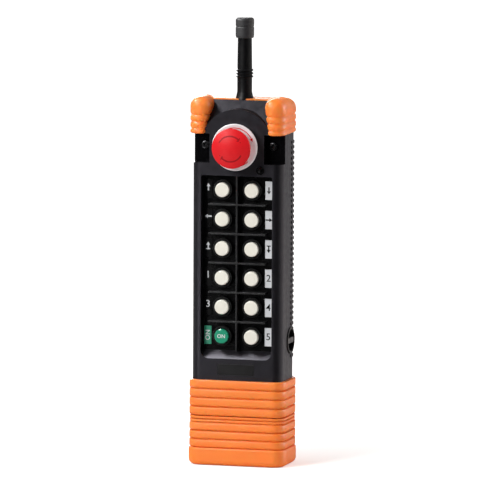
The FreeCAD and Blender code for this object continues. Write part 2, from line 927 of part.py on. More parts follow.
def grooved_block(label, plan, shoulder, top, radius, behind):
    """Block with grooves round it and its top edges rounded, except those wholly in front of behind."""
    body = new_body(label)
    sections = []
    for level, inset in groove_levels(shoulder):
        section = sketch_on(body, "XY", level)
        outline(section, plan(level, inset))
        sections.append(section)
    loft = feature_on(body, "AdditiveLoft", sections[0])
    loft.Sections = sections[1:]
    loft.Ruled = True

    crown = sketch_on(body, "XY", shoulder)
    outline(crown, plan(shoulder, as_size(0)))
    block = pad(body, crown, top - shoulder, "up")
    round_top(body, block, top, radius, behind)
    return body


def make_top_bumper():
    """Hood over the head with a pillow-topped lobe on each front corner."""
    hood = grooved_block("bumper_hood", hood_plan, hood_shoulder, hood_top, s.hood_round, parting_front)
    lobe = grooved_block(
        "bumper_lobe", lobe_plan, lobe_shoulder, lobe_top, s.lobe_round, front_y - s.lobe_proud * 2)
    other = doc.addObject("Part::Mirroring", "bumper_lobe_left")
    other.Source = lobe
    other.Normal = Vector(1, 0, 0)
    whole = doc.addObject("Part::MultiFuse", "bumper_block")
    whole.Shapes = [hood, lobe, other]
    bumper = doc.addObject("Part::Cut", "top_bumper")
    bumper.Base = whole
    bumper.Tool = make_head_form()
    bumper.Label = "top_bumper"
    return bumper


def casing_path(body, level):
    """Line round the casing, from the middle of its right side."""
    path = sketch_on(body, "XY", level)
    corners = casing_plan(as_size(0))
    outline(path, [(half_width, 0)] + corners[3:] + corners[:3])
    return path


def band_steps(skin, low, high, depth):
    """Outside of one rubber band: flat, with both edges rounded back to the skin."""
    face = skin + depth
    return [(skin, low, depth), (face, low + depth), (face, high - depth, depth), (skin, high)]


def make_boot_sleeve():
    """Rubber sleeve of flat bands with narrow grooves between them, and two shallow nicks in its front."""
    body = new_body("boot_sleeve")
    path = casing_path(body, housing_bottom)
    step = (s.sleeve_height + s.band_gap) / SLEEVE_BANDS
    skin = half_width + s.boot_rubber - s.band_depth
    profile = sketch_on(body, "XZ")
    steps = []
    for i in range(SLEEVE_BANDS):
        low = housing_bottom + step * i
        steps += band_steps(skin, low, low + step - s.band_gap, s.band_depth)
    outline(profile, [(half_width, housing_bottom)] + steps + [(half_width, sleeve_top)])
    sweep_round(body, "AdditivePipe", profile, path)

    slits = sketch_on(body, "XZ", front_y - s.boot_rubber + s.slit_depth)
    slit_bottom = housing_bottom + s.slit_rise
    slit_top = slit_bottom + s.slit_height
    for middle in (s.slit_spacing / 2, -s.slit_spacing / 2):
        rectangle(slits, middle - s.slit_width / 2, slit_bottom, middle + s.slit_width / 2, slit_top)
    pocket(body, slits, s.slit_depth, "front")
    return body


def make_battery_boot():
    """Rubber boot with a smooth base, three bands and two thin lips at its mouth."""
    body = new_body("battery_boot")
    path = casing_path(body, 0)
    skin = half_width + s.boot_rubber - s.band_depth
    rim = s.band_depth + s.boot_extra
    base = skin + rim
    toe = base - s.boot_round
    heel = half_width - s.boot_inset
    steps = [
        (toe, 0, s.boot_round), (base, s.boot_round),
        (base, s.base_band - rim, rim), (skin, s.base_band),
    ]
    level = s.base_band + s.band_gap
    while level.value + s.boot_band.value < s.cap_height.value - s.boot_lip.value:
        steps += band_steps(skin, level, level + s.boot_band - s.band_gap, s.band_depth)
        level = level + s.boot_band
    lip = (s.cap_height + s.band_gap - level) / 2
    for _ in range(2):
        steps += band_steps(skin, level, level + lip - s.band_gap, s.lip_proud)
        level = level + lip
    profile = sketch_on(body, "XZ")
    inside = [(half_width, s.cap_height), (half_width, s.boot_floor), (heel, s.boot_floor)]
    outline(profile, [(heel, 0)] + steps + inside)
    sweep_round(body, "AdditivePipe", profile, path)
    floor = sketch_on(body, "XY")
    outline(floor, casing_plan(-s.boot_inset))
    pad(body, floor, s.boot_floor, "up")
    return body


def make_indicator_lens():
    """Lens of the status lamp: a rim on the face, a dome inside it and a spigot through the wall."""
    spigot = s.lens_spigot / 2
    outer = s.lens_diameter / 2
    ring = outer - s.lens_rim_width
    foot = -s.lens_spigot_length
    dome = (ring * ring + s.lens_dome * s.lens_dome) / (s.lens_dome * 2)
    body = turned("indicator_lens", [
        (0, foot), (spigot, foot), (spigot, 0), (outer, 0), (outer, s.lens_rim_height),
        (ring, s.lens_rim_height), (ring, s.lens_ledge, dome), (0, s.lens_ledge + s.lens_dome),
    ])
    place(body, s.lens_side, front_y, lens_z, "front")
    return body


# Push button field

def make_key_plate():
    """Floor of the recess: a plate with stem holes, and standoffs for the board behind it."""
    body = new_body("key_plate")
    face = sketch_on(body, "XZ", plate_back)
    outline(face, tub_outline())
    pad(body, face, s.plate_thickness, "front")

    standoffs = sketch_on(body, "XZ", plate_back)
    pilots = sketch_on(body, "XZ", board_front)
    for z in standoff_heights():
        mirrored_circles(standoffs, s.standoff_spacing / 2, z, s.standoff_diameter)
        mirrored_circles(pilots, s.standoff_spacing / 2, z, s.board_screw_diameter + s.running_fit * 2)
    pad(body, standoffs, board_front - plate_back, "back")
    pocket(body, pilots, s.board_screw_length, "front")

    holes = sketch_on(body, "XZ", key_floor)
    mirrored_circles(holes, column_x, bottom_row, s.button_stem + s.clearance * 2)
    first = pocket(body, holes, s.plate_thickness, "back")
    repeat(body, first, "Z", s.row_spacing, ROWS)
    return body


def standoff_heights():
    return bottom_row + s.row_spacing / 2, top_row - s.row_spacing / 2


def make_divider_grid():
    body = new_body("divider_grid")
    upright = sketch_on(body, "XZ", key_floor)
    rectangle(
        upright, -s.rib_thickness / 2, recess_bottom + s.ramp_rise, s.rib_thickness / 2, recess_top)
    pad(body, upright, s.rib_height, "front")
    across = sketch_on(body, "XZ", key_floor)
    middle = bottom_row + s.row_spacing / 2
    rectangle(
        across, -s.cross_rib_length / 2, middle - s.rib_thickness / 2,
        s.cross_rib_length / 2, middle + s.rib_thickness / 2)
    first = pad(body, across, s.rib_height, "front")
    repeat(body, first, "Z", s.row_spacing, ROWS - 1)
    return body


def make_bezels():
    """Rubber collar round each button."""
    body = new_body("button_bezels")
    rings = sketch_on(body, "XZ", key_floor)
    inner = s.button_diameter + s.clearance * 2
    mirrored_circles(rings, column_x, bottom_row, inner + s.bezel_wall * 2)
    mirrored_circles(rings, column_x, bottom_row, inner)
    first = pad(body, rings, s.bezel_height, "front")
    repeat(body, first, "Z", s.row_spacing, ROWS)
    return body


def make_button(label, x, z):
    radius = s.button_diameter / 2
    stem = s.button_stem / 2
    foot = -s.plate_thickness - s.clearance
    skirt = s.clearance + s.button_travel
    crown = s.recess_depth - s.button_below_face
    shoulder = crown - s.button_crown
    flat = radius - s.button_edge
    rounding = band_radius_quarter(s.button_edge, s.button_crown)
    body = turned(label, [
        (0, foot), (stem, foot), (stem, skirt), (radius, skirt), (radius, shoulder, rounding),
        (flat, crown), (0, crown),
    ])
    place(body, x, key_floor, z, "front")
    return body


def band_radius_quarter(run, rise):
    """Radius of a soft edge that turns in by run while it rises."""
    return (run * run + rise * rise) / (run + rise)


def make_labels(label, side, first_row, count):
    """Column of thin label strips beside the buttons, on the left (-1) or the right (1)."""
    body = new_body(label)
    sketch = sketch_on(body, "XZ", key_floor)
    outer = recess_half - s.label_inset
    inner = outer - s.label_width
    low = bottom_row + s.row_spacing * first_row - s.label_height / 2
    edges = (inner, outer) if side > 0 else (-outer, -inner)
    rectangle(sketch, edges[0], low, edges[1], low + s.label_height)
    first = pad(body, sketch, s.label_thickness, "front")
    if count > 1:
        repeat(body, first, "Z", s.row_spacing, count)
    return body


def make_switches():
    body = new_body("button_switches")
    feet = sketch_on(body, "XZ", board_front)
    half = s.switch_width / 2
    rectangle(feet, column_x - half, bottom_row - half, column_x + half, bottom_row + half)
    rectangle(feet, -column_x - half, bottom_row - half, -column_x + half, bottom_row + half)
    first = pad(body, feet, s.switch_height, "front")
    repeat(body, first, "Z", s.row_spacing, ROWS)
    return body


# Boards

def make_keypad_board():
    body = new_body("keypad_board")
    face = sketch_on(body, "XZ", board_back)
    rectangle(face, -recess_half, recess_bottom + s.board_margin, recess_half, recess_top - s.board_margin)
    pad(body, face, s.board_thickness, "front")
    holes = sketch_on(body, "XZ", board_front)
    for z in standoff_heights():
        mirrored_circles(holes, s.standoff_spacing / 2, z, s.board_screw_diameter + s.running_fit * 2)
    pocket(body, holes, s.board_thickness, "back")
    return body


def make_radio_board():
    body = new_body("radio_board")
    face = sketch_on(body, "XZ", radio_back)
    rectangle(face, -s.radio_width / 2, radio_top - s.radio_height, s.radio_width / 2, radio_top)
    pad(body, face, s.board_thickness, "front")
    holes = sketch_on(body, "XZ", radio_front)
    for z in radio_screw_heights():
        mirrored_circles(holes, s.radio_screw_spacing / 2, z, s.board_screw_diameter + s.running_fit * 2)
    pocket(body, holes, s.board_thickness, "back")
    return body


def make_radio_shield():
    body = new_body("radio_shield")
    low = radio_top - s.radio_height + s.shield_above
    can = sketch_on(body, "XZ", radio_back)
    rectangle(can, -s.shield_width / 2, low, s.shield_width / 2, low + s.shield_height)
    pad(body, can, s.shield_depth, "back")
    return body


def make_board_screws():
    body = new_body("board_screws")
    sets = (
        (board_back, s.standoff_spacing / 2, standoff_heights(), "back", "front"),
        (radio_front, s.radio_screw_spacing / 2, radio_screw_heights(), "front", "back"),
    )
    for level, x, heights, outwards, inwards in sets:
        for diameter, length, way in (
            (s.board_screw_head, s.board_screw_head_height, outwards),
            (s.board_screw_diameter, s.board_thickness + s.board_screw_length - s.clearance, inwards),
        ):
            rounds = sketch_on(body, "XZ", level)
            for z in heights:
                mirrored_circles(rounds, x, z, diameter)
            pad(body, rounds, length, way)
    return body


# Stop button, turned about an axis that points out of the front

def place_stop(body):
    place(body, 0, front_y, stop_z, "front")
    return body


def make_stop_seal():
    bore = s.barrel_diameter / 2 + s.running_fit
    outer = s.collar_foot_diameter / 2 - s.collar_rim
    return place_stop(turned("stop_seal", [
        (bore, 0), (outer, 0), (outer, s.stop_seal_thickness), (bore, s.stop_seal_thickness)]))


def make_stop_collar():
    """White dished ring round the red head, flared from its foot."""
    bore = s.barrel_diameter / 2 + s.running_fit
    outer = s.collar_diameter / 2
    low = s.stop_seal_thickness
    top = low + s.collar_height
    rim = outer - s.collar_rim
    edge = s.collar_rim / 2
    return place_stop(turned("stop_collar", [
        (bore, low), (s.collar_foot_diameter / 2, low), (outer, top - edge, band_radius_quarter(edge, edge)),
        (outer - edge, top), (rim, top), (bore, top - s.collar_dish),
    ]))


def make_stop_barrel():
    outer = s.barrel_diameter / 2
    bore = s.stem_diameter / 2 + s.running_fit
    tail = s.stem_tail / 2 + s.running_fit
    return place_stop(turned("stop_barrel", [
        (tail, -s.barrel_rear), (outer, -s.barrel_rear), (outer, s.barrel_front), (bore, s.barrel_front),
        (bore, -s.spring_chamber), (tail, -s.spring_chamber),
    ]))


def make_stop_nut():
    body = new_body("stop_nut")
    face = sketch_on(body, "XY", -s.wall)
    radius = s.stop_nut_width / 2 / math.cos(math.pi / HEX_SIDES)
    outline(face, [
        (radius * math.cos(2 * math.pi * i / HEX_SIDES), radius * math.sin(2 * math.pi * i / HEX_SIDES))
        for i in range(HEX_SIDES)
    ])
    circle(face, 0, 0, s.barrel_diameter + s.running_fit * 2)
    pad(body, face, s.stop_nut_thickness, "down")
    return place_stop(body)


def make_stop_stem():
    radius = s.stem_diameter / 2
    tail = s.stem_tail / 2
    shoulder = s.stop_hub_rest - s.clearance
    end = -s.barrel_rear + s.stop_travel + s.clearance
    top = shoulder + s.stem_spigot_length
    return place_stop(turned("stop_stem", [
        (0, end), (tail, end), (tail, 0), (radius, 0),
        (radius, shoulder), (tail, shoulder), (tail, top), (0, top),
    ]))


def make_stop_spring():
    """Return spring round the stem's tail, in the chamber of the barrel."""
    body = new_body("stop_spring")
    middle = s.stem_tail / 2 + s.spring_wire
    wire = sketch_on(body, "XZ")
    circle(wire, middle, -s.spring_chamber + s.spring_wire / 2, s.spring_wire)
    coil = body.newObject("PartDesign::AdditiveHelix", "stop_spring_coil")
    coil.Profile = wire
    coil.ReferenceAxis = (wire, ["V_Axis"])
    coil.Mode = "height-turns-angle"
    coil.setExpression("Height", (s.spring_chamber - s.spring_wire).text)
    coil.Turns = SPRING_TURNS
    coil.Angle = 0
    return place_stop(body)


def make_stop_head():
    """Red mushroom head, turned over a spigot on the stem."""
    rim = s.stop_head_diameter / 2
    hub = s.stop_hub_diameter / 2
    bore = s.stem_tail / 2 + s.running_fit
    low = s.stop_hub_rest
    bore_top = low + s.stem_spigot_length
    shoulder = s.stop_head_height - s.stop_head_dome
    under = shoulder - s.stop_head_rim
    neck = under - s.stop_head_rim / 2
    return place_stop(turned("stop_head", [
        (0, bore_top), (bore, bore_top), (bore, low), (hub, low), (hub, neck),
        (rim - s.stop_head_rim / 2, under),
        (rim, under + s.stop_head_rim / 2), (rim, shoulder, dome_radius(rim, s.stop_head_dome)),
        (0, s.stop_head_height),
    ]))


def dome_radius(half_chord, rise):
    """Radius of a round cap of that half width and rise."""
    return (half_chord * half_chord + rise * rise) / (rise * 2)


def make_contact_block():
    body = new_body("stop_contact_block")
    face = sketch_on(body, "XZ", front_y + s.barrel_rear)
    rectangle(
        face, -s.contact_width / 2, stop_z - s.contact_height / 2,
        s.contact_width / 2, stop_z + s.contact_height / 2)
    pad(body, face, s.contact_depth, "back")
    return body


# Power key, turned about an axis that points out of the right side

def place_key(body):
    place(body, half_width, key_y, key_z, "right")
    return body


def key_cup_outer():
    return s.key_flange_diameter - s.key_cup_wall * 2


def key_levels():
    """Heights above the side of the casing: flange seat, mouth, well floor and back of the cup."""
    seat = -s.grip_thickness
    mouth = seat + s.key_flange_thickness
    floor = mouth - s.key_well_depth
    return seat, mouth, floor, floor - s.key_cup_floor


def key_well_radius():
    return s.key_flange_diameter / 2 - s.key_cup_rim


def make_key_cup():
    seat, mouth, floor, back = key_levels()
    well = key_well_radius()
    outer = key_cup_outer() / 2
    flange = s.key_flange_diameter / 2
    bore = s.key_shaft_diameter / 2 + s.running_fit
    return place_key(turned("key_cup", [
        (bore, back), (outer, back), (outer, seat), (flange, seat), (flange, mouth), (well, mouth),
        (well, floor), (bore, floor),
    ]))


def make_power_key():
    """Round knob with a finger bar across it, sunk in the cup."""
    _, mouth, floor, back = key_levels()
    disc = key_well_radius() - s.clearance
    low = floor + s.clearance
    high = low + s.key_disc_thickness
    shaft = s.key_shaft_diameter / 2
    end = back - s.key_shaft_reach
    body = turned("power_key", [
        (0, end), (shaft, end), (shaft, low), (disc, low), (disc, high), (0, high)])
    bar = sketch_on(body, "XY", high)
    half = s.key_bar_width / 2
    tip = disc - s.key_bar_inset
    reach = tip - half
    outline(bar, [
        (-half, -reach, half), (0, -tip, half), (half, -reach),
        (half, reach, half), (0, tip, half), (-half, reach),
    ])
    pad(body, bar, mouth - s.key_bar_below_rim - high, "up")
    return place_key(body)


def make_key_seal():
    _, _, _, back = key_levels()
    bore = s.key_shaft_diameter / 2 + s.running_fit * 2
    outer = bore + s.key_seal_width
    return place_key(turned("key_seal", [
        (bore, back - s.key_seal_height), (outer, back - s.key_seal_height), (outer, back), (bore, back)]))


def make_key_switch():
    _, _, _, back = key_levels()
    outer = s.key_switch_diameter / 2
    bore = s.key_shaft_diameter / 2 + s.running_fit * 2
    seat = bore + s.key_seal_width + s.running_fit
    deep = back - s.key_shaft_reach - s.clearance
    return place_key(turned("key_switch", [
        (0, back - s.key_switch_length), (outer, back - s.key_switch_length), (outer, back), (seat, back),
        (seat, back - s.key_seal_height), (bore, back - s.key_seal_height), (bore, deep), (0, deep),
    ]))


# Antenna, turned about an upright axis on the roof

def place_antenna(body):
    place(body, 0, antenna_y, body_top)
    return body


def make_antenna_base():
    bore = s.connector_diameter / 2 + s.running_fit
    foot = s.antenna_base_diameter / 2
    head = s.antenna_flare / 2
    return place_antenna(turned("antenna_base", [
        (bore, 0), (foot, 0), (head, s.antenna_base_height), (bore, s.antenna_base_height)]))


def make_antenna_rod():
    """Rubber rod that flares at its foot and carries three raised rings."""
    low = s.antenna_base_height
    bore = s.connector_diameter / 2 + s.running_fit
    socket = s.connector_rise + s.running_fit
    core = s.conductor_diameter / 2 + s.running_fit
    lower = s.antenna_lower_diameter / 2
    upper = s.antenna_upper_diameter / 2
    ring = s.antenna_ring_diameter / 2
    top = s.antenna_tip_height + s.antenna_tip_overlap
    profile = [(core, socket), (bore, socket), (bore, low), (s.antenna_flare / 2, low)]
    profile.append((lower, low + s.antenna_flare_height))
    quarter = s.antenna_ring_spacing / 4
    for i in range(RING_COUNT):
        start = s.antenna_ring_height + s.antenna_ring_spacing * i
        profile += [
            (lower, start), (ring, start + quarter), (ring, start + quarter * 2), (lower, start + quarter * 3)]
    profile += [(upper, s.antenna_tip_height), (upper, top), (core, top)]
    return place_antenna(turned("antenna_rod", profile))


def make_antenna_tip():
    low = s.antenna_tip_height
    top = low + s.antenna_tip_length
    seat = low + s.antenna_tip_overlap
    bore = s.antenna_upper_diameter / 2
    outer = s.antenna_tip_diameter / 2
    waist = outer - s.tip_groove_depth
    edge = s.antenna_tip_length / 8
    return place_antenna(turned("antenna_tip", [
        (0, seat), (bore, seat), (bore, low), (waist, low), (outer, low + edge), (outer, top - edge * 4),
        (waist, top - edge * 3.5), (outer, top - edge * 3), (outer, top - edge, edge),
        (outer - edge, top), (0, top),
    ]))


def make_antenna_conductor():
    radius = s.conductor_diameter / 2
    low = s.connector_rise
    top = s.antenna_tip_height + s.antenna_tip_overlap
    return place_antenna(turned("antenna_conductor", [(0, low), (radius, low), (radius, top), (0, top)]))


def make_antenna_connector():
    radius = s.connector_diameter / 2
    nut = s.connector_nut_diameter / 2
    under = -s.wall
    return place_antenna(turned("antenna_connector", [
        (0, -s.connector_drop), (radius, -s.connector_drop), (radius, under - s.connector_nut_thickness),
        (nut, under - s.connector_nut_thickness), (nut, under), (radius, under), (radius, s.connector_rise),
        (0, s.connector_rise),
    ]))


def make_antenna_lead():
    """Coaxial lead from the connector down and back to the radio board."""
    body = new_body("antenna_lead")
    top = body_top - s.connector_drop
    bend_top = top - s.lead_run
    low = bend_top - s.lead_bend
    path = sketch_on(body, "YZ")
    outline(path, [
        (antenna_y, top), (antenna_y, bend_top, s.lead_bend),
        (antenna_y + s.lead_bend, low), (radio_front, low),
    ], closed=False)
    section = sketch_on(body, "XY", top)
    circle(section, 0, antenna_y, s.lead_diameter)
    sweep_round(body, "AdditivePipe", section, path)
    return body


# Battery end

def neck_plan(inset):
    return rounded_corners(
        -neck_half + inset, neck_front + inset, neck_half - inset, neck_rear - inset,
        s.front_corner - s.wall - s.clearance, s.rear_corner - s.wall - s.clearance)


def cell_steps():
    """Step between neighbouring cells across and in depth; they stagger where the neck is narrow for a row."""
    room = (neck_half - s.neck_wall - s.holder_end) * 2 - s.cell_diameter
    across = smaller(s.cell_spacing, room / (CELLS - 1))
    return across, square_root(s.cell_spacing * s.cell_spacing - across * across)


def holder_half():
    """Half width and half depth of the cell holder."""
    _, stagger = cell_steps()
    return neck_half - s.neck_wall, s.cell_diameter / 2 + s.holder_wall + stagger / 2


def cell_places():
    """Centre of each cell in plan."""
    across, stagger = cell_steps()
    return [(across * (i - (CELLS - 1) / 2), stagger * (i % 2 - 0.5)) for i in range(CELLS)]


def make_battery_cap():
    """Cup with a neck that plugs into the casing and a slot that takes the cell holder."""
    body = new_body("battery_cap")
    plan = sketch_on(body, "XY", s.boot_floor)
    outline(plan, casing_plan(as_size(0)))
    pad(body, plan, s.cap_height - s.boot_floor, "up")
    neck = sketch_on(body, "XY", s.cap_height)
    outline(neck, neck_plan(as_size(0)))
    pad(body, neck, neck_top - s.cap_height, "up")
    seal_seat = sketch_on(body, "XY", neck_top - s.cap_seal_drop)
    outline(seal_seat, neck_plan(as_size(0)))
    outline(seal_seat, neck_plan(s.cap_seal_depth))
    pocket(body, seal_seat, s.cap_seal_height, "down")
    slot = sketch_on(body, "XY", neck_top)
    wide, deep = holder_half()
    rectangle(slot, -wide - s.running_fit, -deep - s.running_fit, wide + s.running_fit, deep + s.running_fit)
    pocket(body, slot, neck_top - s.boot_floor - s.cap_base, "down")
    return body


def make_cap_seal():
    body = new_body("cap_seal")
    ring = sketch_on(body, "XY", neck_top - s.cap_seal_drop)
    outline(ring, neck_plan(-s.clearance / 3))
    outline(ring, neck_plan(s.cap_seal_depth))
    pad(body, ring, s.cap_seal_height, "down")
    return body


def make_cell_holder():
    body = new_body("cell_holder")
    low = s.boot_floor + s.cap_base
    wide, deep = holder_half()
    block = sketch_on(body, "XY", low)
    rectangle(block, -wide, -deep, wide, deep)
    pad(body, block, cell_bottom + s.cell_length - low, "up")
    bores = sketch_on(body, "XY", cell_bottom + s.cell_length)
    for x, y in cell_places():
        circle(bores, x, y, s.cell_diameter + s.running_fit * 2)
    pocket(body, bores, s.cell_length, "down")
    slots = sketch_on(body, "XY", cell_bottom)
    strip_outlines(slots)
    pocket(body, slots, s.strip_thickness, "down")
    return body


def strip_outlines(sketch):
    """Two strips, each under one pair of cells."""
    places = cell_places()
    half = s.strip_width / 2
    for (left, front), (right, back) in ((places[0], places[1]), (places[2], places[3])):
        rectangle(sketch, left - half, front - half, right + half, back + half)


def make_link_strips():
    body = new_body("link_strips")
    strips = sketch_on(body, "XY", cell_bottom - s.strip_thickness)
    strip_outlines(strips)
    pad(body, strips, s.strip_thickness, "up")
    return body


def make_cells():
    body = new_body("battery_cells")
    cans = sketch_on(body, "XY", cell_bottom)
    nubs = sketch_on(body, "XY", cell_bottom + s.cell_length)
    for x, y in cell_places():
        circle(cans, x, y, s.cell_diameter)
        circle(nubs, x, y, s.cell_nub_diameter)
    pad(body, cans, s.cell_length, "up")
    pad(body, nubs, s.cell_nub, "up")
    return body


def make_terminal_board():
    body = new_body("terminal_board")
    face = sketch_on(body, "XY", terminal_bottom)
    outline(face, neck_plan(as_size(0)))
    pad(body, face, s.board_thickness, "up")
    return body


def make_battery_contacts():
    """Sprung pins under the terminal board, one over each cell."""
    body = new_body("battery_contacts")
    bases = sketch_on(body, "XY", terminal_bottom)
    pins = sketch_on(body, "XY", terminal_bottom - s.contact_base_height)
    for x, y in cell_places():
        circle(bases, x, y, s.contact_base_diameter)
        circle(pins, x, y, s.contact_pin_diameter)
    pad(body, bases, s.contact_base_height, "down")
    pad(body, pins, terminal_bottom - s.contact_base_height - cell_top - s.clearance, "down")
    return body


# The whole transmitter

def make_buttons():
    """Two columns of buttons, counted from the top; the lowest on the left is the start button."""
    buttons = []
    for row in range(ROWS):
        z = top_row - s.row_spacing * row
        left = "button_start" if row == ROWS - 1 else "button_left_%d" % (row + 1)
        buttons.append(make_button(left, -column_x, z))
        buttons.append(make_button("button_right_%d" % (row + 1), column_x, z))
    return buttons


def make_all():
    casing = [
        make_front_housing(), make_rear_housing(), make_housing_seal(), make_grip_cover(), make_nameplate(),
        make_screws("notch_screws", notch_screw_x, stop_z, notch_floor, "front"),
        make_screws("rear_screws", rear_screw_x, rear_screw_z, rear_y - s.rear_screw_sink, "back"),
        make_top_bumper(), make_boot_sleeve(), make_indicator_lens(),
    ]
    field = [
        make_key_plate(), make_divider_grid(), make_bezels(), make_switches(),
        make_labels("left_labels", -1, 1, ROWS - 1), make_labels("right_labels", 1, 0, ROWS),
        make_labels("start_label", -1, 0, 1),
    ]
    boards = [make_keypad_board(), make_radio_board(), make_radio_shield(), make_board_screws()]
    stop = [
        make_stop_seal(), make_stop_collar(), make_stop_barrel(), make_stop_nut(), make_stop_stem(),
        make_stop_spring(), make_stop_head(), make_contact_block(),
    ]
    key = [make_key_cup(), make_power_key(), make_key_seal(), make_key_switch()]
    antenna = [
        make_antenna_base(), make_antenna_rod(), make_antenna_tip(), make_antenna_conductor(),
        make_antenna_connector(), make_antenna_lead(),
    ]
    battery = [
        make_battery_cap(), make_battery_boot(), make_cap_seal(), make_cell_holder(), make_link_strips(),
        make_cells(), make_terminal_board(), make_battery_contacts(),
    ]
    return casing + field + make_buttons() + boards + stop + key + antenna + battery


def check_features():
    """Stop if a feature failed, or if a cut took nothing away."""
    for item in doc.Objects:
        if "Invalid" in item.State or "Error" in item.State:
            raise RuntimeError("%s is %s" % (item.Name, item.State))
        if item.TypeId in ("PartDesign::Pocket", "PartDesign::SubtractivePipe"):
            if item.Shape.Volume > item.BaseFeature.Shape.Volume - 1e-6:
                raise RuntimeError("%s cuts nothing" % item.Name)


def write_parts(parts):
    os.makedirs("parts", exist_ok=True)
    for part in parts:
        if part.Shape.isNull() or not part.Shape.isValid():
            raise RuntimeError("%s has no valid shape" % part.Label)
    for part in parts:
        part.Shape.exportStep(os.path.join("parts", part.Label + ".step"))


pieces = make_all()
doc.recompute()
check_features()
write_parts(pieces)
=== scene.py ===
"""Studio scene of a handheld radio remote transmitter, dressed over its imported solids."""

import json
import math

import bmesh
import bpy
from mathutils import Matrix, Quaternion, Vector


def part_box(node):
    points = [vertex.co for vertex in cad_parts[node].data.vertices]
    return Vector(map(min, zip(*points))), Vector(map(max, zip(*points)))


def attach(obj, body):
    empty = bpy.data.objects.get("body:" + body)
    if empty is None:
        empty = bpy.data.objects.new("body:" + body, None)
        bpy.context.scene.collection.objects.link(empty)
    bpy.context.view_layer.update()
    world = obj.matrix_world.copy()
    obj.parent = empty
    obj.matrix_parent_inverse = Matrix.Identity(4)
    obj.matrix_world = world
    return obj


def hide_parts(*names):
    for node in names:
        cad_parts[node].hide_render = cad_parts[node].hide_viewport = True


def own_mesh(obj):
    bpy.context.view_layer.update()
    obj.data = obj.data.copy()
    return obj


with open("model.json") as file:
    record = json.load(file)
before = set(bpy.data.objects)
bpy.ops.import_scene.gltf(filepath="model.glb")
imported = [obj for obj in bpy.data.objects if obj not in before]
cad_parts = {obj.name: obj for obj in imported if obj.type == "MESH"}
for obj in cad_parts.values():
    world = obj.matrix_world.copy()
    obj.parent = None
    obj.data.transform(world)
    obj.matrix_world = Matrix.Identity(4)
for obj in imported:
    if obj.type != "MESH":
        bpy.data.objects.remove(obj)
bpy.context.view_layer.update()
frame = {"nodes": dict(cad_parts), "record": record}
nodes = frame["nodes"]
MM = 0.001

# Helpers for node trees


def node_of_type(tree, kind):
    """First node of a kind in a tree."""
    return next(node for node in tree.nodes if node.type == kind)


def socket_of_type(sockets, kind, name):
    """First socket of a kind and name."""
    return next(socket for socket in sockets if socket.type == kind and socket.name == name)


def spread(tree, source, low, high, to_low=0.0, to_high=1.0):
    """Stretch a value between low and high onto another range."""
    node = tree.nodes.new("ShaderNodeMapRange")
    for socket, value in (("From Min", low), ("From Max", high), ("To Min", to_low), ("To Max", to_high)):
        node.inputs[socket].default_value = value
    tree.links.new(source, node.inputs["Value"])
    return node.outputs["Result"]


def choose(tree, factor, otherwise, chosen):
    """One of two values, each a constant or a socket, by a factor."""
    node = tree.nodes.new("ShaderNodeMix")
    tree.links.new(factor, node.inputs["Factor"])
    for name, value in (("A", otherwise), ("B", chosen)):
        socket = socket_of_type(node.inputs, "VALUE", name)
        if isinstance(value, float):
            socket.default_value = value
        else:
            tree.links.new(value, socket)
    return socket_of_type(node.outputs, "VALUE", "Result")


def axes_of(tree, place):
    """X, Y and Z of a place as separate sockets."""
    node = tree.nodes.new("ShaderNodeSeparateXYZ")
    tree.links.new(place, node.inputs[0])
    return node.outputs


# Materials: what counts as an edge and as a groove, and how far a noise usually swings

MASK_SAMPLES = 4
EDGE_COSINES = (0.995, 0.9)
CREVICE_LIGHT = (0.9, 0.3)
NOISE_SWING = (0.3, 0.7)


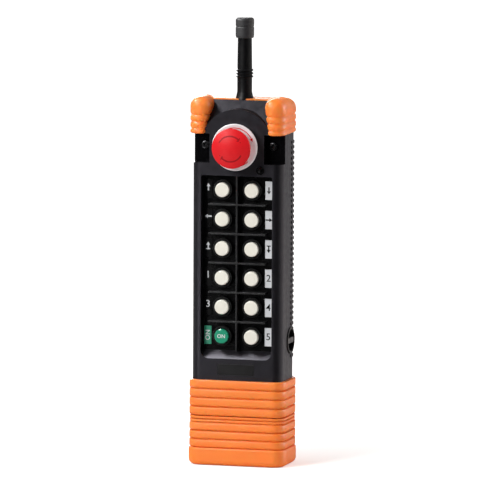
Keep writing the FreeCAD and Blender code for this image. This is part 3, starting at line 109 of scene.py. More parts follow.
class Paint:
    """A procedural material: constants on the shader, variation from nodes in object space."""

    def __init__(self, name, **constants):
        self.material = bpy.data.materials.new(name)
        self.material.use_nodes = True
        self.tree = self.material.node_tree
        self.shader = node_of_type(self.tree, "BSDF_PRINCIPLED")
        for socket, value in constants.items():
            self.shader.inputs[socket.replace("_", " ")].default_value = value
        self.place = self.tree.nodes.new("ShaderNodeTexCoord").outputs["Object"]

    def link(self, source, target):
        """Join two sockets."""
        self.tree.links.new(source, target)

    def noise(self, scale, detail=2.0, stretch=None):
        """Noise from 0 to 1; scale is in waves per metre, stretch squeezes it along the axes."""
        texture = self.tree.nodes.new("ShaderNodeTexNoise")
        texture.inputs["Scale"].default_value = scale
        texture.inputs["Detail"].default_value = detail
        source = self.place
        if stretch:
            mapping = self.tree.nodes.new("ShaderNodeMapping")
            mapping.inputs["Scale"].default_value = stretch
            self.link(self.place, mapping.inputs["Vector"])
            source = mapping.outputs["Vector"]
        self.link(source, texture.inputs["Vector"])
        return texture.outputs["Fac"]

    def spread(self, source, low, high, to_low=0.0, to_high=1.0):
        """Stretch a value onto another range."""
        return spread(self.tree, source, low, high, to_low, to_high)

    def multiply(self, first, second):
        """Product of two values."""
        node = self.tree.nodes.new("ShaderNodeMath")
        node.operation = "MULTIPLY"
        self.link(first, node.inputs[0])
        self.link(second, node.inputs[1])
        return node.outputs[0]

    def mix(self, factor, first, second):
        """Blend two colours, each a constant or a socket."""
        node = self.tree.nodes.new("ShaderNodeMix")
        node.data_type = "RGBA"
        self.link(factor, node.inputs["Factor"])
        for name, value in (("A", first), ("B", second)):
            socket = socket_of_type(node.inputs, "RGBA", name)
            if isinstance(value, tuple):
                socket.default_value = (*value, 1.0)
            else:
                self.link(value, socket)
        return socket_of_type(node.outputs, "RGBA", "Result")

    def edges(self, radius):
        """About 1 along sharp edges and 0 on open faces."""
        bevel = self.tree.nodes.new("ShaderNodeBevel")
        bevel.inputs["Radius"].default_value = radius
        bevel.samples = MASK_SAMPLES
        flat = self.tree.nodes.new("ShaderNodeNewGeometry")
        dot = self.tree.nodes.new("ShaderNodeVectorMath")
        dot.operation = "DOT_PRODUCT"
        self.link(bevel.outputs["Normal"], dot.inputs[0])
        self.link(flat.outputs["Normal"], dot.inputs[1])
        return self.spread(dot.outputs["Value"], *EDGE_COSINES)

    def crevices(self, distance):
        """About 1 deep in grooves and corners and 0 in the open."""
        node = self.tree.nodes.new("ShaderNodeAmbientOcclusion")
        node.samples = MASK_SAMPLES
        node.inputs["Distance"].default_value = distance
        return self.spread(node.outputs["AO"], *CREVICE_LIGHT)

    def inside(self, low, high):
        """1 inside a box on the right and its mirror image on the left, and 0 outside them."""
        axes = axes_of(self.tree, self.place)
        across = self.tree.nodes.new("ShaderNodeMath")
        across.operation = "ABSOLUTE"
        self.link(axes["X"], across.inputs[0])
        result = None
        for value, start, end in zip((across.outputs[0], axes["Y"], axes["Z"]), low, high):
            within = self.tree.nodes.new("ShaderNodeMath")
            within.operation = "COMPARE"
            self.link(value, within.inputs[0])
            within.inputs[1].default_value = (start + end) / 2
            within.inputs[2].default_value = (end - start) / 2
            result = self.multiply(result, within.outputs[0]) if result else within.outputs[0]
        return result

    def colour(self, source):
        """Drive the base colour."""
        self.link(source, self.shader.inputs["Base Color"])

    def roughness(self, source):
        """Drive the roughness."""
        self.link(source, self.shader.inputs["Roughness"])

    def uneven(self, source, rough, swing):
        """Roughness that swings below and above a middle value with a noise."""
        return self.spread(source, *NOISE_SWING, rough + swing[0], rough + swing[1])

    def swell(self, levels, height):
        """Bump that bulges between neighbouring levels along Z, as (low, high) pairs in metres."""
        bottom, top = levels[0][0], levels[-1][1]
        curve = self.tree.nodes.new("ShaderNodeFloatCurve")
        line = curve.mapping.curves[0]
        line.points[0].location = (0.0, 0.0)
        line.points[1].location = (1.0, 0.0)
        for low, high in levels:
            middle_point = line.points.new(((low + high) / 2 - bottom) / (top - bottom), 1.0)
            middle_point.handle_type = "AUTO"
            if high < top:
                line.points.new((high - bottom) / (top - bottom), 0.0).handle_type = "VECTOR"
        curve.mapping.update()
        self.link(self.spread(axes_of(self.tree, self.place)["Z"], bottom, top), curve.inputs["Value"])
        return self.bump(curve.outputs["Value"], height)

    def bump(self, height, depth, strength=1.0, over=None):
        """Bump from a height, over the shape of another bump if one is given."""
        node = self.tree.nodes.new("ShaderNodeBump")
        node.inputs["Strength"].default_value = strength
        node.inputs["Distance"].default_value = depth
        self.link(height, node.inputs["Height"])
        if over:
            self.link(over, node.inputs["Normal"])
        self.link(node.outputs["Normal"], self.shader.inputs["Normal"])
        return node.outputs["Normal"]


# Noise of the surfaces, in waves per metre, and the part of its 0 to 1 that each effect uses

PLASTIC_CLOUD = 70.0
PLASTIC_SCUFFS = 90.0
SCUFF_STRETCH = (1.0, 1.0, 9.0)
SCUFF_RANGE = (0.58, 0.75)
SCUFF_BREAKS = 420.0
EDGE_WEAR_AND_HIGHLIGHT_NOISE = 140.0
EDGE_WEAR_AND_HIGHLIGHT_RANGE = (0.35, 0.7)
PLASTIC_SKIN = 260.0
RUBBER_CLOUD = 55.0
RUBBER_CLOUD_MOST = 0.25
GROOVE_SHADE_NOISE = 300.0
RUBBER_WEAR = 160.0
RUBBER_WEAR_RANGE = (0.4, 0.75)
RUBBER_SKIN = 200.0
METAL_MARKS = 900.0

# How far edges and grooves reach, and how far the roughness swings below and above its middle

PLASTIC_EDGE = 0.5 * MM
RUBBER_EDGE = 0.6 * MM
GROOVE_REACH = 2.0 * MM
PLASTIC_UNEVEN = (-0.05, 0.07)
RUBBER_UNEVEN = (-0.06, 0.08)
METAL_UNEVEN = (-0.08, 0.1)
METAL_DEPTH = 0.01 * MM
METAL_BUMP = 0.4


def moulded(name, dark, light, rough, grain, depth, edge_wear_and_highlight=None, polished_and_shaded=None, **constants):
    """Moulded plastic: cloudy colour, fine grain, faint scuffs; if asked, paler edges that are wear or a painted
    highlight, and a polished box painted near-black as shade.
    """
    paint = Paint(name, **constants)
    colour = paint.mix(paint.noise(PLASTIC_CLOUD, detail=3.0), dark, light)
    scuffs = paint.spread(paint.noise(PLASTIC_SCUFFS, detail=4.0, stretch=SCUFF_STRETCH), *SCUFF_RANGE)
    colour = paint.mix(paint.multiply(scuffs, paint.noise(SCUFF_BREAKS)), colour, light)
    # Paler edges: wear on most materials, a painted highlight on the ribs
    if edge_wear_and_highlight:
        patches = paint.spread(paint.noise(EDGE_WEAR_AND_HIGHLIGHT_NOISE, detail=3.0), *EDGE_WEAR_AND_HIGHLIGHT_RANGE)
        colour = paint.mix(paint.multiply(paint.edges(PLASTIC_EDGE), patches), colour, edge_wear_and_highlight)
    skin = paint.uneven(paint.noise(PLASTIC_SKIN, detail=3.0), rough, PLASTIC_UNEVEN)
    # Painted shade: inside the box the colour is near-black, as shade deep in a notch, and the roughness is polished
    if polished_and_shaded:
        mask = paint.inside(*polished_and_shaded)
        colour = paint.mix(mask, colour, NOTCH_PAINTED_SHADE_COLOUR)
        skin = choose(paint.tree, mask, skin, POLISHED_ROUGH)
    paint.colour(colour)
    paint.roughness(skin)
    paint.bump(paint.noise(grain, detail=1.5), depth)
    return paint.material


def rubbery(name, shade, body, bloom, rough, grain, depth, bands=None, **constants):
    """Rubber: painted shade darkening its grooves, a dusty bloom on its edges, a soft skin, and full bands if asked.
    """
    paint = Paint(name, **constants)
    cloud = paint.spread(paint.noise(RUBBER_CLOUD, detail=3.0), *NOISE_SWING, 0.0, RUBBER_CLOUD_MOST)
    colour = paint.mix(cloud, body, shade)
    # Painted shade: deep in grooves and corners the colour darkens towards the shade colour, broken up by a noise
    colour = paint.mix(paint.multiply(paint.crevices(GROOVE_REACH), paint.noise(GROOVE_SHADE_NOISE)), colour, shade)
    patches = paint.spread(paint.noise(RUBBER_WEAR, detail=3.0), *RUBBER_WEAR_RANGE)
    paint.colour(paint.mix(paint.multiply(paint.edges(RUBBER_EDGE), patches), colour, bloom))
    paint.roughness(paint.uneven(paint.noise(RUBBER_SKIN, detail=4.0), rough, RUBBER_UNEVEN))
    crown = paint.swell(bands, BAND_CROWN) if bands else None
    paint.bump(paint.noise(grain, detail=2.0), depth, over=crown)
    return paint.material


def metal(name, dark, light, rough, brush):
    """Metal with fine turning marks along one axis."""
    paint = Paint(name, Metallic=1.0)
    marks = paint.noise(METAL_MARKS, detail=3.0, stretch=brush)
    paint.colour(paint.mix(marks, dark, light))
    paint.roughness(paint.uneven(marks, rough, METAL_UNEVEN))
    paint.bump(marks, METAL_DEPTH, METAL_BUMP)
    return paint.material


# Finger notches beside the stop button: inside them the colour is painted shade, near-black, and the finish is
# polished

NOTCH = ((20.9 * MM, -19.7 * MM, 229.2 * MM), (40.0 * MM, -10.8 * MM, 251.7 * MM))
NOTCH_PAINTED_SHADE_COLOUR = (0.001, 0.001, 0.0012)
POLISHED_ROUGH = 0.16

# Rubber bands of the battery boot and of the sleeve above it

BAND_CROWN = 1.1 * MM
BAND_GAP = 0.4 * MM
BASE_BAND = 13.5 * MM
BOOT_BAND = 6.4 * MM
SLEEVE_BANDS = 4


def rubber_bands():
    """Lowest and highest point of each band, from the boot's upwards."""
    boot_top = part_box("battery_boot")[1][2]
    sleeve_bottom, sleeve_top = (corner[2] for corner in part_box("boot_sleeve"))
    steps = [BASE_BAND]
    while steps[-1] + 1.5 * BOOT_BAND < boot_top:
        steps.append(steps[-1] + BOOT_BAND)
    steps += [(steps[-1] + boot_top) / 2, sleeve_bottom]
    rise = (sleeve_top + BAND_GAP - sleeve_bottom) / SLEEVE_BANDS
    steps += [sleeve_bottom + rise * (i + 1) for i in range(SLEEVE_BANDS)]
    return list(zip(steps, steps[1:]))


# Finish of each material slot

VIOLET_TINT = (0.9, 0.86, 1.0, 1.0)
MATERIALS = {
    "black_plastic": moulded(
        "casing_plastic", (0.003, 0.0028, 0.0034), (0.006, 0.0056, 0.0066),
        rough=0.4, grain=3800.0, depth=0.02 * MM,
        edge_wear_and_highlight=(0.022, 0.021, 0.023), polished_and_shaded=NOTCH, Specular_Tint=VIOLET_TINT),
    "orange_rubber": rubbery(
        "orange_rubber", (0.97, 0.16, 0.018), (0.97, 0.26, 0.044), (0.97, 0.33, 0.085),
        rough=0.42, grain=2600.0, depth=0.015 * MM,
        bands=rubber_bands(), Specular_IOR_Level=0.3, Subsurface_Weight=0.4, Subsurface_Radius=(1.0, 0.25, 0.06),
        Subsurface_Scale=2.0 * MM),
    "grip_rubber": rubbery(
        "grip_rubber", (0.005, 0.005, 0.0055), (0.011, 0.011, 0.012), (0.03, 0.03, 0.032),
        rough=0.42, grain=1100.0, depth=0.3 * MM, Specular_Tint=VIOLET_TINT),
    "seal_rubber": rubbery(
        "seal_rubber", (0.004, 0.004, 0.004), (0.008, 0.008, 0.008), (0.02, 0.02, 0.02),
        rough=0.65, grain=2600.0, depth=0.02 * MM),
    "gloss_black": moulded(
        "gloss_black", (0.0014, 0.0013, 0.0015), (0.0026, 0.0024, 0.0028),
        rough=0.22, grain=900.0, depth=0.004 * MM, Specular_IOR_Level=0.25),
    "bezel_rubber": rubbery(
        "bezel_rubber", (0.0015, 0.0015, 0.0015), (0.0025, 0.0025, 0.0025), (0.006, 0.006, 0.006),
        rough=0.5, grain=2600.0, depth=0.02 * MM, Specular_IOR_Level=0.2),
    "ivory": moulded(
        "ivory_plastic", (0.74, 0.715, 0.62), (0.80, 0.78, 0.70),
        rough=0.34, grain=1500.0, depth=0.006 * MM, Coat_Weight=0.15),
    "green": moulded(
        "green_plastic", (0.012, 0.24, 0.13), (0.022, 0.31, 0.18),
        rough=0.16, grain=900.0, depth=0.004 * MM, Coat_Weight=0.5),
    "label_dark": moulded(
        "dark_film", (0.0014, 0.0013, 0.0015), (0.0026, 0.0024, 0.0028),
        rough=0.32, grain=1800.0, depth=0.006 * MM, Specular_IOR_Level=0.2),
    "label_white": moulded(
        "white_film", (0.62, 0.635, 0.655), (0.72, 0.735, 0.755),
        rough=0.36, grain=1800.0, depth=0.006 * MM),
    "label_green": moulded(
        "green_film", (0.014, 0.22, 0.125), (0.024, 0.29, 0.165),
        rough=0.34, grain=1800.0, depth=0.006 * MM),
    "nameplate": moulded(
        "nameplate_film", (0.0026, 0.0024, 0.0028), (0.0048, 0.0044, 0.005),
        rough=0.38, grain=2200.0, depth=0.01 * MM, Specular_IOR_Level=0.42),
    "stop_red": moulded(
        "stop_red_plastic", (0.60, 0.006, 0.011), (0.72, 0.011, 0.015),
        rough=0.42, grain=1700.0, depth=0.01 * MM, edge_wear_and_highlight=(0.78, 0.05, 0.04), Specular_IOR_Level=0.17),
    "collar_white": moulded(
        "collar_plastic", (0.76, 0.735, 0.745), (0.84, 0.815, 0.825),
        rough=0.36, grain=1700.0, depth=0.008 * MM),
    "inner_plastic": moulded(
        "inner_plastic", (0.012, 0.012, 0.013), (0.02, 0.02, 0.022),
        rough=0.5, grain=2400.0, depth=0.02 * MM),
    "steel": metal("steel", (0.05, 0.05, 0.052), (0.09, 0.09, 0.094), rough=0.26, brush=(1.0, 8.0, 1.0)),
    "board_green": moulded(
        "board_laminate", (0.012, 0.06, 0.022), (0.02, 0.09, 0.034),
        rough=0.3, grain=1200.0, depth=0.01 * MM),
    "brass": metal("brass", (0.55, 0.36, 0.12), (0.74, 0.52, 0.2), rough=0.26, brush=(1.0, 1.0, 8.0)),
    "lead_jacket": rubbery(
        "lead_jacket", (0.006, 0.006, 0.006), (0.01, 0.01, 0.01), (0.02, 0.02, 0.02),
        rough=0.5, grain=2600.0, depth=0.01 * MM),
    "antenna_rubber": rubbery(
        "antenna_rubber", (0.002, 0.002, 0.0024), (0.0034, 0.0033, 0.004), (0.01, 0.01, 0.011),
        rough=0.38, grain=2400.0, depth=0.02 * MM, Specular_IOR_Level=0.2),
    "antenna_grey": moulded(
        "antenna_cap", (0.015, 0.0145, 0.0165), (0.026, 0.025, 0.028),
        rough=0.56, grain=3000.0, depth=0.03 * MM, edge_wear_and_highlight=(0.06, 0.06, 0.063)),
    "key_black": moulded(
        "key_cup_plastic", (0.002, 0.002, 0.002), (0.004, 0.004, 0.004),
        rough=0.42, grain=2600.0, depth=0.015 * MM, edge_wear_and_highlight=(0.02, 0.02, 0.02)),
    "key_grey": moulded(
        "key_plastic", (0.03, 0.03, 0.032), (0.05, 0.05, 0.053),
        rough=0.44, grain=2600.0, depth=0.02 * MM, edge_wear_and_highlight=(0.13, 0.13, 0.135)),
    "cell_jacket": moulded(
        "cell_jacket", (0.02, 0.022, 0.028), (0.035, 0.037, 0.045),
        rough=0.25, grain=1200.0, depth=0.004 * MM, Metallic=0.6),
}

# Finishes apart from the slots: the ribs between the keys, paler than the key plate and paler again on their edges
# as a painted highlight, and the arrows raised on the red head

# Painted highlight: the ribs are coloured paler than the key plate, and paler still on their edges, as if lit from
# above
RIB_PLASTIC_PAINTED_HIGHLIGHT = moulded(
    "rib_plastic_painted_highlight", (0.006, 0.006, 0.0066), (0.012, 0.012, 0.013),
    rough=0.34, grain=1800.0, depth=0.01 * MM, edge_wear_and_highlight=(0.06, 0.06, 0.063))
RED_RELIEF = moulded(
    "red_relief", (0.27, 0.004, 0.008), (0.36, 0.006, 0.010),
    rough=0.5, grain=1700.0, depth=0.01 * MM, edge_wear_and_highlight=(0.5, 0.02, 0.02), Specular_IOR_Level=0.12)
OWN_FINISH = {"divider_grid": RIB_PLASTIC_PAINTED_HIGHLIGHT}

# Carried-over solids: welded, smooth across curves, crisp edges eased

SMOOTH_ANGLE = math.radians(32)
FLAT_ANGLE = math.radians(0.5)
WELD = 0.002 * MM
EASE_SEGMENTS = 2
DEFAULT_EASE_MM = 0.15
EASE_MM = {
    "front_housing": 0.45, "rear_housing": 0.4, "top_bumper": 0.0, "boot_sleeve": 0.0, "battery_boot": 0.0,
    "key_plate": 0.0, "stop_head": 0.5, "stop_collar": 0.35, "button_bezels": 0.35, "divider_grid": 0.25,
    "antenna_rod": 0.0, "antenna_tip": 0.25, "grip_cover": 0.22, "power_key": 0.35, "key_cup": 0.25,
    "left_labels": 0.08, "right_labels": 0.08, "start_label": 0.08, "nameplate": 0.12, "stop_spring": 0.0,
    "antenna_lead": 0.0, "housing_seal": 0.0, "indicator_lens": 0.1,
}


def smoothing_group():
    """Geometry nodes that shade a mesh smooth except across sharp edges."""
    group = bpy.data.node_groups.new("smooth_by_angle", "GeometryNodeTree")
    group.interface.new_socket("Geometry", in_out="INPUT", socket_type="NodeSocketGeometry")
    group.interface.new_socket("Geometry", in_out="OUTPUT", socket_type="NodeSocketGeometry")
    start = group.nodes.new("NodeGroupInput")
    end = group.nodes.new("NodeGroupOutput")
    faces = group.nodes.new("GeometryNodeSetShadeSmooth")
    faces.domain = "FACE"
    edges = group.nodes.new("GeometryNodeSetShadeSmooth")
    edges.domain = "EDGE"
    angle = group.nodes.new("GeometryNodeInputMeshEdgeAngle")
    sharp = group.nodes.new("FunctionNodeCompare")
    sharp.data_type = "FLOAT"
    sharp.operation = "GREATER_THAN"
    sharp.inputs["B"].default_value = SMOOTH_ANGLE
    edges.inputs["Shade Smooth"].default_value = False
    group.links.new(start.outputs[0], faces.inputs["Geometry"])
    group.links.new(faces.outputs[0], edges.inputs["Geometry"])
    group.links.new(angle.outputs["Unsigned Angle"], sharp.inputs["A"])
    group.links.new(sharp.outputs["Result"], edges.inputs["Selection"])
    group.links.new(edges.outputs[0], end.inputs[0])
    return group


SMOOTH = smoothing_group()


def soften(piece, width):
    """Weld, drop needless edges on flats, ease the edges by a width in millimetres, then shade smooth."""
    weld = piece.modifiers.new("weld", "WELD")
    weld.merge_threshold = WELD
    if width > 0:
        flats = piece.modifiers.new("flats", "DECIMATE")
        flats.decimate_type = "DISSOLVE"
        flats.angle_limit = FLAT_ANGLE
        ease = piece.modifiers.new("ease", "BEVEL")
        ease.width = width * MM
        ease.segments = EASE_SEGMENTS
        ease.limit_method = "ANGLE"
        ease.angle_limit = SMOOTH_ANGLE
        ease.use_clamp_overlap = True
        ease.miter_outer = "MITER_ARC"
    shade = piece.modifiers.new("shade", "NODES")
    shade.node_group = SMOOTH
    if width > 0:
        level = piece.modifiers.new("level", "WEIGHTED_NORMAL")
        level.keep_sharp = True


slot_of = {part["node"]: part["material_slot"] for part in frame["record"]["subparts"]}
for name, piece in nodes.items():
    piece.data.materials.clear()
    piece.data.materials.append(OWN_FINISH.get(name, MATERIALS[slot_of[name]]))
    soften(piece, EASE_MM.get(name, DEFAULT_EASE_MM))


# Pieces made here

FRONT = -1.0
BACK = 1.0
MERGE = 0.005 * MM


def finish_mesh(build, name):
    """Mesh from a build, with points that meet merged and the faces turned outwards."""
    bmesh.ops.remove_doubles(build, verts=build.verts, dist=MERGE)
    bmesh.ops.dissolve_degenerate(build, edges=build.edges, dist=MERGE)
    bmesh.ops.recalc_face_normals(build, faces=build.faces)
    mesh = bpy.data.meshes.new(name)
    build.to_mesh(mesh)
    build.free()
    return mesh


def add_piece(name, mesh, body, slot, finish=None):
    """Link a mesh as a piece that moves with a body, in the finish of a slot or one of its own."""
    piece = bpy.data.objects.new(name, mesh)
    bpy.context.scene.collection.objects.link(piece)
    mesh.materials.append(finish or MATERIALS[slot])
    shade = piece.modifiers.new("shade", "NODES")
    shade.node_group = SMOOTH
    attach(piece, body)
    return piece


def middle(node):
    """Middle of a node's box."""
    low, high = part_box(node)
    return (Vector(low) + Vector(high)) / 2


def loft(build, rings):
    """Join rings of equal length by faces and close both ends."""
    for before, after in zip(rings, rings[1:]):
        for i in range(len(before)):
            j = (i + 1) % len(before)
            build.faces.new((before[i], before[j], after[j], after[i]))
    build.faces.new(rings[0])
    build.faces.new(rings[-1])


# Marks on the labels: plain arrows, numbers and ON, with outlines in millimetres

MARK_DEPTH = 0.12 * MM
MARK_PROUD = 0.05 * MM
STROKE_EXTRA = 0.05 * MM
ARROW = [(-0.5, -2.6), (0.5, -2.6), (0.5, 0.4), (1.5, 0.4), (0.0, 2.8), (-1.5, 0.4), (-0.5, 0.4)]
BARRED_ARROW = [(-1.5, -2.9), (1.5, -2.9), (1.5, -2.1), (0.5, -2.1)] + ARROW[2:] + [(-0.5, -2.1), (-1.5, -2.1)]
QUARTER_TURNS = {"up": 0, "left": 1, "down": 2, "right": 3}
BARRED = "bar_"


def add_plate(build, points, faces):
    """Add a thin plate: a front of those points, with faces as their indices, a back behind it, and sides."""
    fronts = [build.verts.new(point) for point in points]
    backs = [build.verts.new((x, y + MARK_DEPTH, z)) for x, y, z in points]
    edges = [edge for face in faces for edge in zip(face, face[1:] + face[:1])]
    for face in faces:
        build.faces.new([fronts[i] for i in face])
        build.faces.new([backs[i] for i in face])
    for i, j in edges:
        if (j, i) not in edges:
            build.faces.new((fronts[i], fronts[j], backs[j], backs[i]))


def flat_mark(build, outline, x, y, z, quarter_turns=0):
    """Add a thin plate of that outline on a front-facing surface."""
    turn = Matrix.Rotation(quarter_turns * math.pi / 2, 2)
    corners = [turn @ Vector(p) for p in outline]
    points = [(x + p.x * MM, y - MARK_PROUD, z + p.y * MM) for p in corners]
    add_plate(build, points, [tuple(range(len(points)))])


def word_mark(build, word, size, x, y, z, quarter_turns=0):
    """Add thin raised figures, of a size in millimetres, centred on a front-facing surface."""
    curve = bpy.data.curves.new("figures", "FONT")
    curve.body = word
    curve.size = size * MM
    curve.align_x = "CENTER"
    curve.align_y = "CENTER"
    curve.extrude = MARK_DEPTH / 2
    curve.offset = STROKE_EXTRA
    carrier = bpy.data.objects.new("figures", curve)
    flat = bpy.data.meshes.new_from_object(carrier)
    stand = Matrix.Rotation(math.pi / 2, 4, "X") @ Matrix.Rotation(quarter_turns * math.pi / 2, 4, "Z")
    flat.transform(Matrix.Translation((x, y - MARK_PROUD + MARK_DEPTH / 2, z)) @ stand)
    build.from_mesh(flat)
    bpy.data.meshes.remove(flat)
    bpy.data.objects.remove(carrier)
    bpy.data.curves.remove(curve)


def label_marks(name, labels, rows, slot, figure_size, rise=0.0):
    """Marks of one label strip, row by row and a rise above the buttons' middles, as one piece."""
    build = bmesh.new()
    low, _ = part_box(labels)
    x = middle(labels).x
    for button, mark in rows:
        z = middle(button).z + rise
        if mark in QUARTER_TURNS:
            flat_mark(build, ARROW, x, low[1], z, QUARTER_TURNS[mark])
        elif mark.startswith(BARRED):
            flat_mark(build, BARRED_ARROW, x, low[1], z, QUARTER_TURNS[mark.removeprefix(BARRED)])
        else:
            word_mark(build, mark, figure_size, x, low[1], z)
    return add_piece(name, finish_mesh(build, name), "housing", slot)


FIGURE_SIZE = 7.4
LEFT_RISE = 1.4 * MM
label_marks("left_label_marks", "left_labels", [
    ("button_left_1", "up"), ("button_left_2", "left"), ("button_left_3", "bar_up"), ("button_left_4", "1"),
    ("button_left_5", "3")], "label_white", FIGURE_SIZE, LEFT_RISE)
label_marks("right_label_marks", "right_labels", [
    ("button_right_1", "down"), ("button_right_2", "right"), ("button_right_3", "bar_down"), ("button_right_4", "2"),
    ("button_right_5", "4"), ("button_right_6", "5")], "label_dark", FIGURE_SIZE)


def single_word(name, word, size, node, body, slot, quarter_turns=0):
    """A word in the middle of a node's front, as one piece."""
    build = bmesh.new()
    low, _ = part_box(node)
    place = middle(node)
    word_mark(build, word, size, place.x, low[1], place.z, quarter_turns)
    return add_piece(name, finish_mesh(build, name), body, slot)


single_word("start_label_mark", "ON", 5.0, "start_label", "housing", "label_white", quarter_turns=1)
single_word("start_button_mark", "ON", 4.0, "button_start", "button_start_body", "label_white")


# Curved arrows that show the twist of the stop button

ARROW_STEPS = 18


def curved_arrow(build, axis, height, radius, width, head, start, end):
    """Add an arrow that runs clockwise round a front-facing axis, laid on a turned surface."""
    def point(r, angle):
        """Point of the surface at a radius and an angle from the top."""
        return (axis.x + r * math.sin(angle), height(r) - MARK_PROUD, axis.z + r * math.cos(angle))

    head_start = end - head / radius
    points = []
    for i in range(ARROW_STEPS + 1):
        angle = start + (head_start - start) * i / ARROW_STEPS
        points += [point(radius - width / 2, angle), point(radius + width / 2, angle)]
    shaft = [(2 * i, 2 * i + 1, 2 * i + 3, 2 * i + 2) for i in range(ARROW_STEPS)]
    neck = 2 * ARROW_STEPS
    points += [point(radius - head / 2, head_start), point(radius + head / 2, head_start), point(radius, end)]
    tip = (neck + 2, neck, neck + 1, neck + 3, neck + 4)
    add_plate(build, points, shaft + [tip])


def arrows_round(name, axis, height, radius, width, head, spans, body, slot, finish=None):
    """Curved arrows over spans of degrees, as one piece."""
    build = bmesh.new()
    for start, end in spans:
        curved_arrow(build, axis, height, radius, width, head, math.radians(start), math.radians(end))
    return add_piece(name, finish_mesh(build, name), body, slot, finish)


stop_axis = middle("stop_head")
collar_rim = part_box("stop_collar")[0][1]
DISH_DEPTH = 1.6 * MM
DISH_OUTER = 16.1 * MM
DISH_INNER = 11.05 * MM


def dish(radius):
    """Depth of the collar's dished face at a radius."""
    return collar_rim + DISH_DEPTH * (DISH_OUTER - radius) / (DISH_OUTER - DISH_INNER)


head_low, head_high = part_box("stop_head")
HEAD_RADIUS = (head_high[0] - head_low[0]) / 2
DOME_RISE = 4.2 * MM
DOME_RADIUS = (HEAD_RADIUS ** 2 + DOME_RISE ** 2) / (2 * DOME_RISE)


def dome(radius):
    """Depth of the red head's dome at a radius."""
    return head_low[1] + DOME_RADIUS - math.sqrt(DOME_RADIUS ** 2 - radius ** 2)


arrows_round(
    "collar_arrows", stop_axis, dish, radius=14.7 * MM, width=0.7 * MM, head=2.6 * MM,
    spans=[(-45, 72), (135, 252)], body="housing", slot="stop_red")
arrows_round(
    "head_arrows", stop_axis, dome, radius=9.6 * MM, width=1.1 * MM, head=3.6 * MM,
    spans=[(-62, 62), (118, 242)], body="stop_knob", slot="stop_red", finish=RED_RELIEF)


# Socket screws that stand for the plain ones

SCREW_SIDES = 24
SCREW_HEAD = 3.0 * MM
SCREW_HEAD_HEIGHT = 2.4 * MM
SCREW_SHANK = 1.5 * MM
RIM_ROUND = 0.5 * MM
RIM_SHOULDER = 0.15 * MM
SOCKET = 1.45 * MM
SOCKET_EASE = 0.12 * MM
SOCKET_DEPTH = 1.3 * MM
SIXTH_TURN = math.pi / 3


def screw(build, x, z, top, facing, length):
    """Add a socket-head screw whose head shows its face to the front or back."""
    def ring(radius, depth, hexagon=False):
        """Round or six-sided ring of points at a depth below the face."""
        points = []
        for i in range(SCREW_SIDES):
            angle = 2 * math.pi * i / SCREW_SIDES
            reach = radius
            if hexagon:
                reach = radius / math.cos((angle + SIXTH_TURN / 2) % SIXTH_TURN - SIXTH_TURN / 2)
            points.append(build.verts.new((
                x + reach * math.cos(angle), top - facing * depth, z + reach * math.sin(angle))))
        return points

    loft(build, [
        ring(SCREW_SHANK, length),
        ring(SCREW_SHANK, SCREW_HEAD_HEIGHT),
        ring(SCREW_HEAD, SCREW_HEAD_HEIGHT),
        ring(SCREW_HEAD, RIM_ROUND),
        ring(SCREW_HEAD - RIM_SHOULDER, RIM_SHOULDER),
        ring(SCREW_HEAD - RIM_ROUND, 0.0),
        ring(SOCKET + SOCKET_EASE, 0.0, hexagon=True),
        ring(SOCKET, SOCKET_EASE, hexagon=True),
        ring(SOCKET, SOCKET_DEPTH, hexagon=True),
    ])


def screw_pair(name, node, facing):
    """Socket screws in the place of a node with two plain ones side by side."""
    low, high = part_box(node)
    top = low[1] if facing == FRONT else high[1]
    build = bmesh.new()
    for x in (low[0] + SCREW_HEAD, high[0] - SCREW_HEAD):
        screw(build, x, middle(node).z, top, facing, high[1] - low[1])
    piece = add_piece(name, finish_mesh(build, name), "housing", "steel")
    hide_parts(node)


screw_pair("notch_socket_screws", "notch_screws", FRONT)
screw_pair("rear_socket_screws", "rear_screws", BACK)


# Return spring of the stop button

SPRING_WIRE = 1.0 * MM
SPRING_TURNS = 4
SPRING_STEPS = 32
WIRE_SIDES = 12


def coil_spring(name, node):
    """A coil in the place of a node, wound from its rear end to its front end."""
    low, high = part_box(node)
    axis = middle(node)
    coil_radius = (high[0] - low[0] - SPRING_WIRE) / 2
    rise = high[1] - low[1] - SPRING_WIRE
    along = Vector((0.0, 1.0, 0.0))
    build = bmesh.new()
    rings = []
    for i in range(SPRING_TURNS * SPRING_STEPS + 1):
        turn = 2 * math.pi * i / SPRING_STEPS
        outward = Vector((math.cos(turn), 0.0, math.sin(turn)))
        core = axis + outward * coil_radius
        core.y = high[1] - SPRING_WIRE / 2 - rise * i / (SPRING_TURNS * SPRING_STEPS)
        rings.append([
            build.verts.new(core + (outward * math.cos(a) + along * math.sin(a)) * SPRING_WIRE / 2)
            for a in (2 * math.pi * side / WIRE_SIDES for side in range(WIRE_SIDES))
        ])
    loft(build, rings)
    piece = add_piece(name, finish_mesh(build, name), "housing", "steel")
    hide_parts(node)
    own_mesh(piece)


coil_spring("stop_coil_spring", "stop_spring")


# Studio

CAMERA_AZIMUTH = math.radians(15.5)
CAMERA_ELEVATION = math.radians(6.85)
CAMERA_ROLL = math.radians(0.27)
CAMERA_DISTANCE = 6.0
VIEW_WIDTH = 0.3768
AIM = Vector((0.0, 0.0, 0.16195))
AIM_RIGHT = 0.005
SENSOR_MM = 36.0
CLIP_END = 100.0


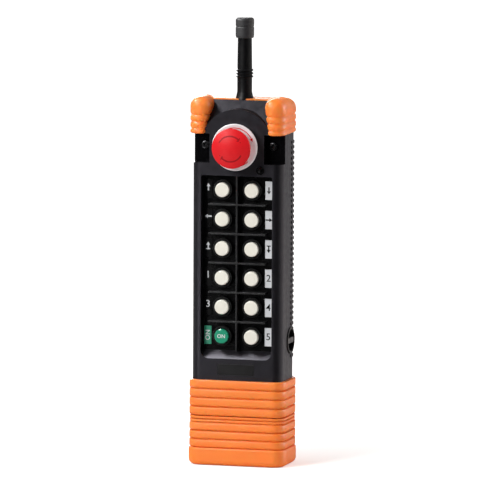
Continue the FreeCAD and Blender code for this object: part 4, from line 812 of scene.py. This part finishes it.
def add_camera():
    """Camera of the photograph's view: far off and nearly level, a little to the right."""
    data = bpy.data.cameras.new("camera")
    data.sensor_width = SENSOR_MM
    data.lens = SENSOR_MM * CAMERA_DISTANCE / VIEW_WIDTH
    data.clip_end = CLIP_END
    camera = bpy.data.objects.new("camera", data)
    bpy.context.scene.collection.objects.link(camera)
    a, e = CAMERA_AZIMUTH, CAMERA_ELEVATION
    back = Vector((math.sin(a) * math.cos(e), -math.cos(a) * math.cos(e), math.sin(e)))
    right = Vector((math.cos(a), math.sin(a), 0.0))
    camera.location = AIM + right * AIM_RIGHT + back * CAMERA_DISTANCE
    camera.rotation_mode = "QUATERNION"
    camera.rotation_quaternion = (-back).to_track_quat("-Z", "Y") @ Quaternion((0.0, 0.0, 1.0), CAMERA_ROLL)
    bpy.context.scene.camera = camera


CENTRE = (0.0, 0.0, 0.17)
WHITE = (1.0, 1.0, 1.0)


def add_lamp(name, place, size, power, target=CENTRE, diffuse=True, gloss=True, colour=WHITE, beam=180.0):
    """Area lamp aimed at a target; beam is its angle in degrees."""
    data = bpy.data.lights.new(name, "AREA")
    data.spread = math.radians(beam)
    data.shape = "RECTANGLE"
    data.size, data.size_y = size
    data.energy = power
    data.color = colour
    lamp = bpy.data.objects.new(name, data)
    bpy.context.scene.collection.objects.link(lamp)
    lamp.location = place
    lamp.rotation_mode = "QUATERNION"
    lamp.rotation_quaternion = (Vector(target) - Vector(place)).to_track_quat("-Z", "Y")
    lamp.visible_camera = False
    lamp.visible_diffuse = diffuse
    lamp.visible_glossy = gloss


AMBIENT = 0.19
FRONT_GLOSS = 0.02
BACK_GLOSS = 0.32
WORLD_TURN = (-0.3, 0.6)


def add_world():
    """White to the camera, dim as light, and in reflections paler behind the object than in front of it."""
    world = bpy.data.worlds.new("studio")
    bpy.context.scene.world = world
    world.use_nodes = True
    tree = world.node_tree
    background = node_of_type(tree, "BACKGROUND")
    background.inputs["Color"].default_value = (*WHITE, 1.0)
    rays = tree.nodes.new("ShaderNodeLightPath").outputs
    place = tree.nodes.new("ShaderNodeTexCoord").outputs["Generated"]
    gloss = spread(tree, axes_of(tree, place)["Y"], *WORLD_TURN, FRONT_GLOSS, BACK_GLOSS)
    strength = choose(tree, rays["Is Glossy Ray"], AMBIENT, gloss)
    strength = choose(tree, rays["Is Transmission Ray"], strength, 1.0)
    strength = choose(tree, rays["Is Camera Ray"], strength, 1.0)
    tree.links.new(strength, background.inputs["Strength"])


FLOOR_HALF = 12.0
FLOOR_DROP = 0.05 * MM
FLOOR_ROUGH = 0.9
FLOOR_PALE = 0.82
FLOOR_TURN = (-0.25, 0.1)
FLOOR_FRONT = 0.04
FLOOR_BEHIND = 0.6
GLOW_REACH = (0.15, 0.9)
NEAR_GLOW = 0.5
FAR_GLOW = 1.0


def add_floor():
    """Pale floor that shows as white and keeps the shadow; in reflections it is paler behind than in front."""
    half = FLOOR_HALF
    corners = ((-half, -half, 0.0), (half, -half, 0.0), (half, half, 0.0), (-half, half, 0.0))
    build = bmesh.new()
    build.faces.new([build.verts.new(corner) for corner in corners])
    mesh = finish_mesh(build, "floor")
    floor = bpy.data.objects.new("floor", mesh)
    floor.location.z = -FLOOR_DROP
    bpy.context.scene.collection.objects.link(floor)
    material = bpy.data.materials.new("floor_paper")
    material.use_nodes = True
    tree = material.node_tree
    shader = node_of_type(tree, "BSDF_PRINCIPLED")
    shader.inputs["Roughness"].default_value = FLOOR_ROUGH
    shader.inputs["Specular IOR Level"].default_value = 0.0
    shader.inputs["Emission Color"].default_value = (*WHITE, 1.0)
    rays = tree.nodes.new("ShaderNodeLightPath").outputs
    place = tree.nodes.new("ShaderNodeTexCoord").outputs["Object"]
    reflected = spread(tree, axes_of(tree, place)["Y"], *FLOOR_TURN, FLOOR_FRONT, FLOOR_BEHIND)
    pale = choose(tree, rays["Is Glossy Ray"], FLOOR_PALE, reflected)
    tree.links.new(pale, shader.inputs["Base Color"])
    reach = tree.nodes.new("ShaderNodeVectorMath")
    reach.operation = "LENGTH"
    tree.links.new(place, reach.inputs[0])
    glow = spread(tree, reach.outputs["Value"], *GLOW_REACH, NEAR_GLOW, FAR_GLOW)
    glow = choose(tree, rays["Is Camera Ray"], 0.0, glow)
    tree.links.new(glow, shader.inputs["Emission Strength"])
    mesh.materials.append(material)


add_camera()
add_world()
add_floor()

# The key, overhead and fill lamps light the object; each sheen lamp shows only in reflections

RIGHT = (1.05, 0.6, 0.35)
RIGHT_SIZE = (0.9, 1.0)
WARM = (1.0, 0.75, 0.65)
LOW_FACE = (0.0, -0.015, 0.085)
LEFT_CORNER = (-0.02, -0.02, 0.1)
add_lamp("key", (-0.7, -1.15, 0.9), (0.5, 0.5), 16.0)
add_lamp("overhead", (-0.45, -0.2, 1.55), (0.8, 0.8), 12.0, gloss=False)
add_lamp("right_fill", RIGHT, RIGHT_SIZE, 10.0, gloss=False, colour=WARM)
add_lamp("right_sheen", RIGHT, RIGHT_SIZE, 26.0, diffuse=False)
add_lamp("roof_sheen", (-0.22, -0.06, 0.49), (0.06, 0.06), 1.5, LOW_FACE, diffuse=False)
add_lamp("ramp_sheen", (-0.22, -0.11, 0.42), (0.1, 0.1), 0.1, LOW_FACE, diffuse=False, beam=30.0)
add_lamp("back_sheen", (-0.55, 1.0, 0.55), (0.5, 0.5), 12.0, diffuse=False)
add_lamp("left_sheen", (-0.18, -0.275, 0.06), (0.03, 0.2), 0.16, LEFT_CORNER, diffuse=False)

bpy.context.scene.view_settings.view_transform = "Standard"
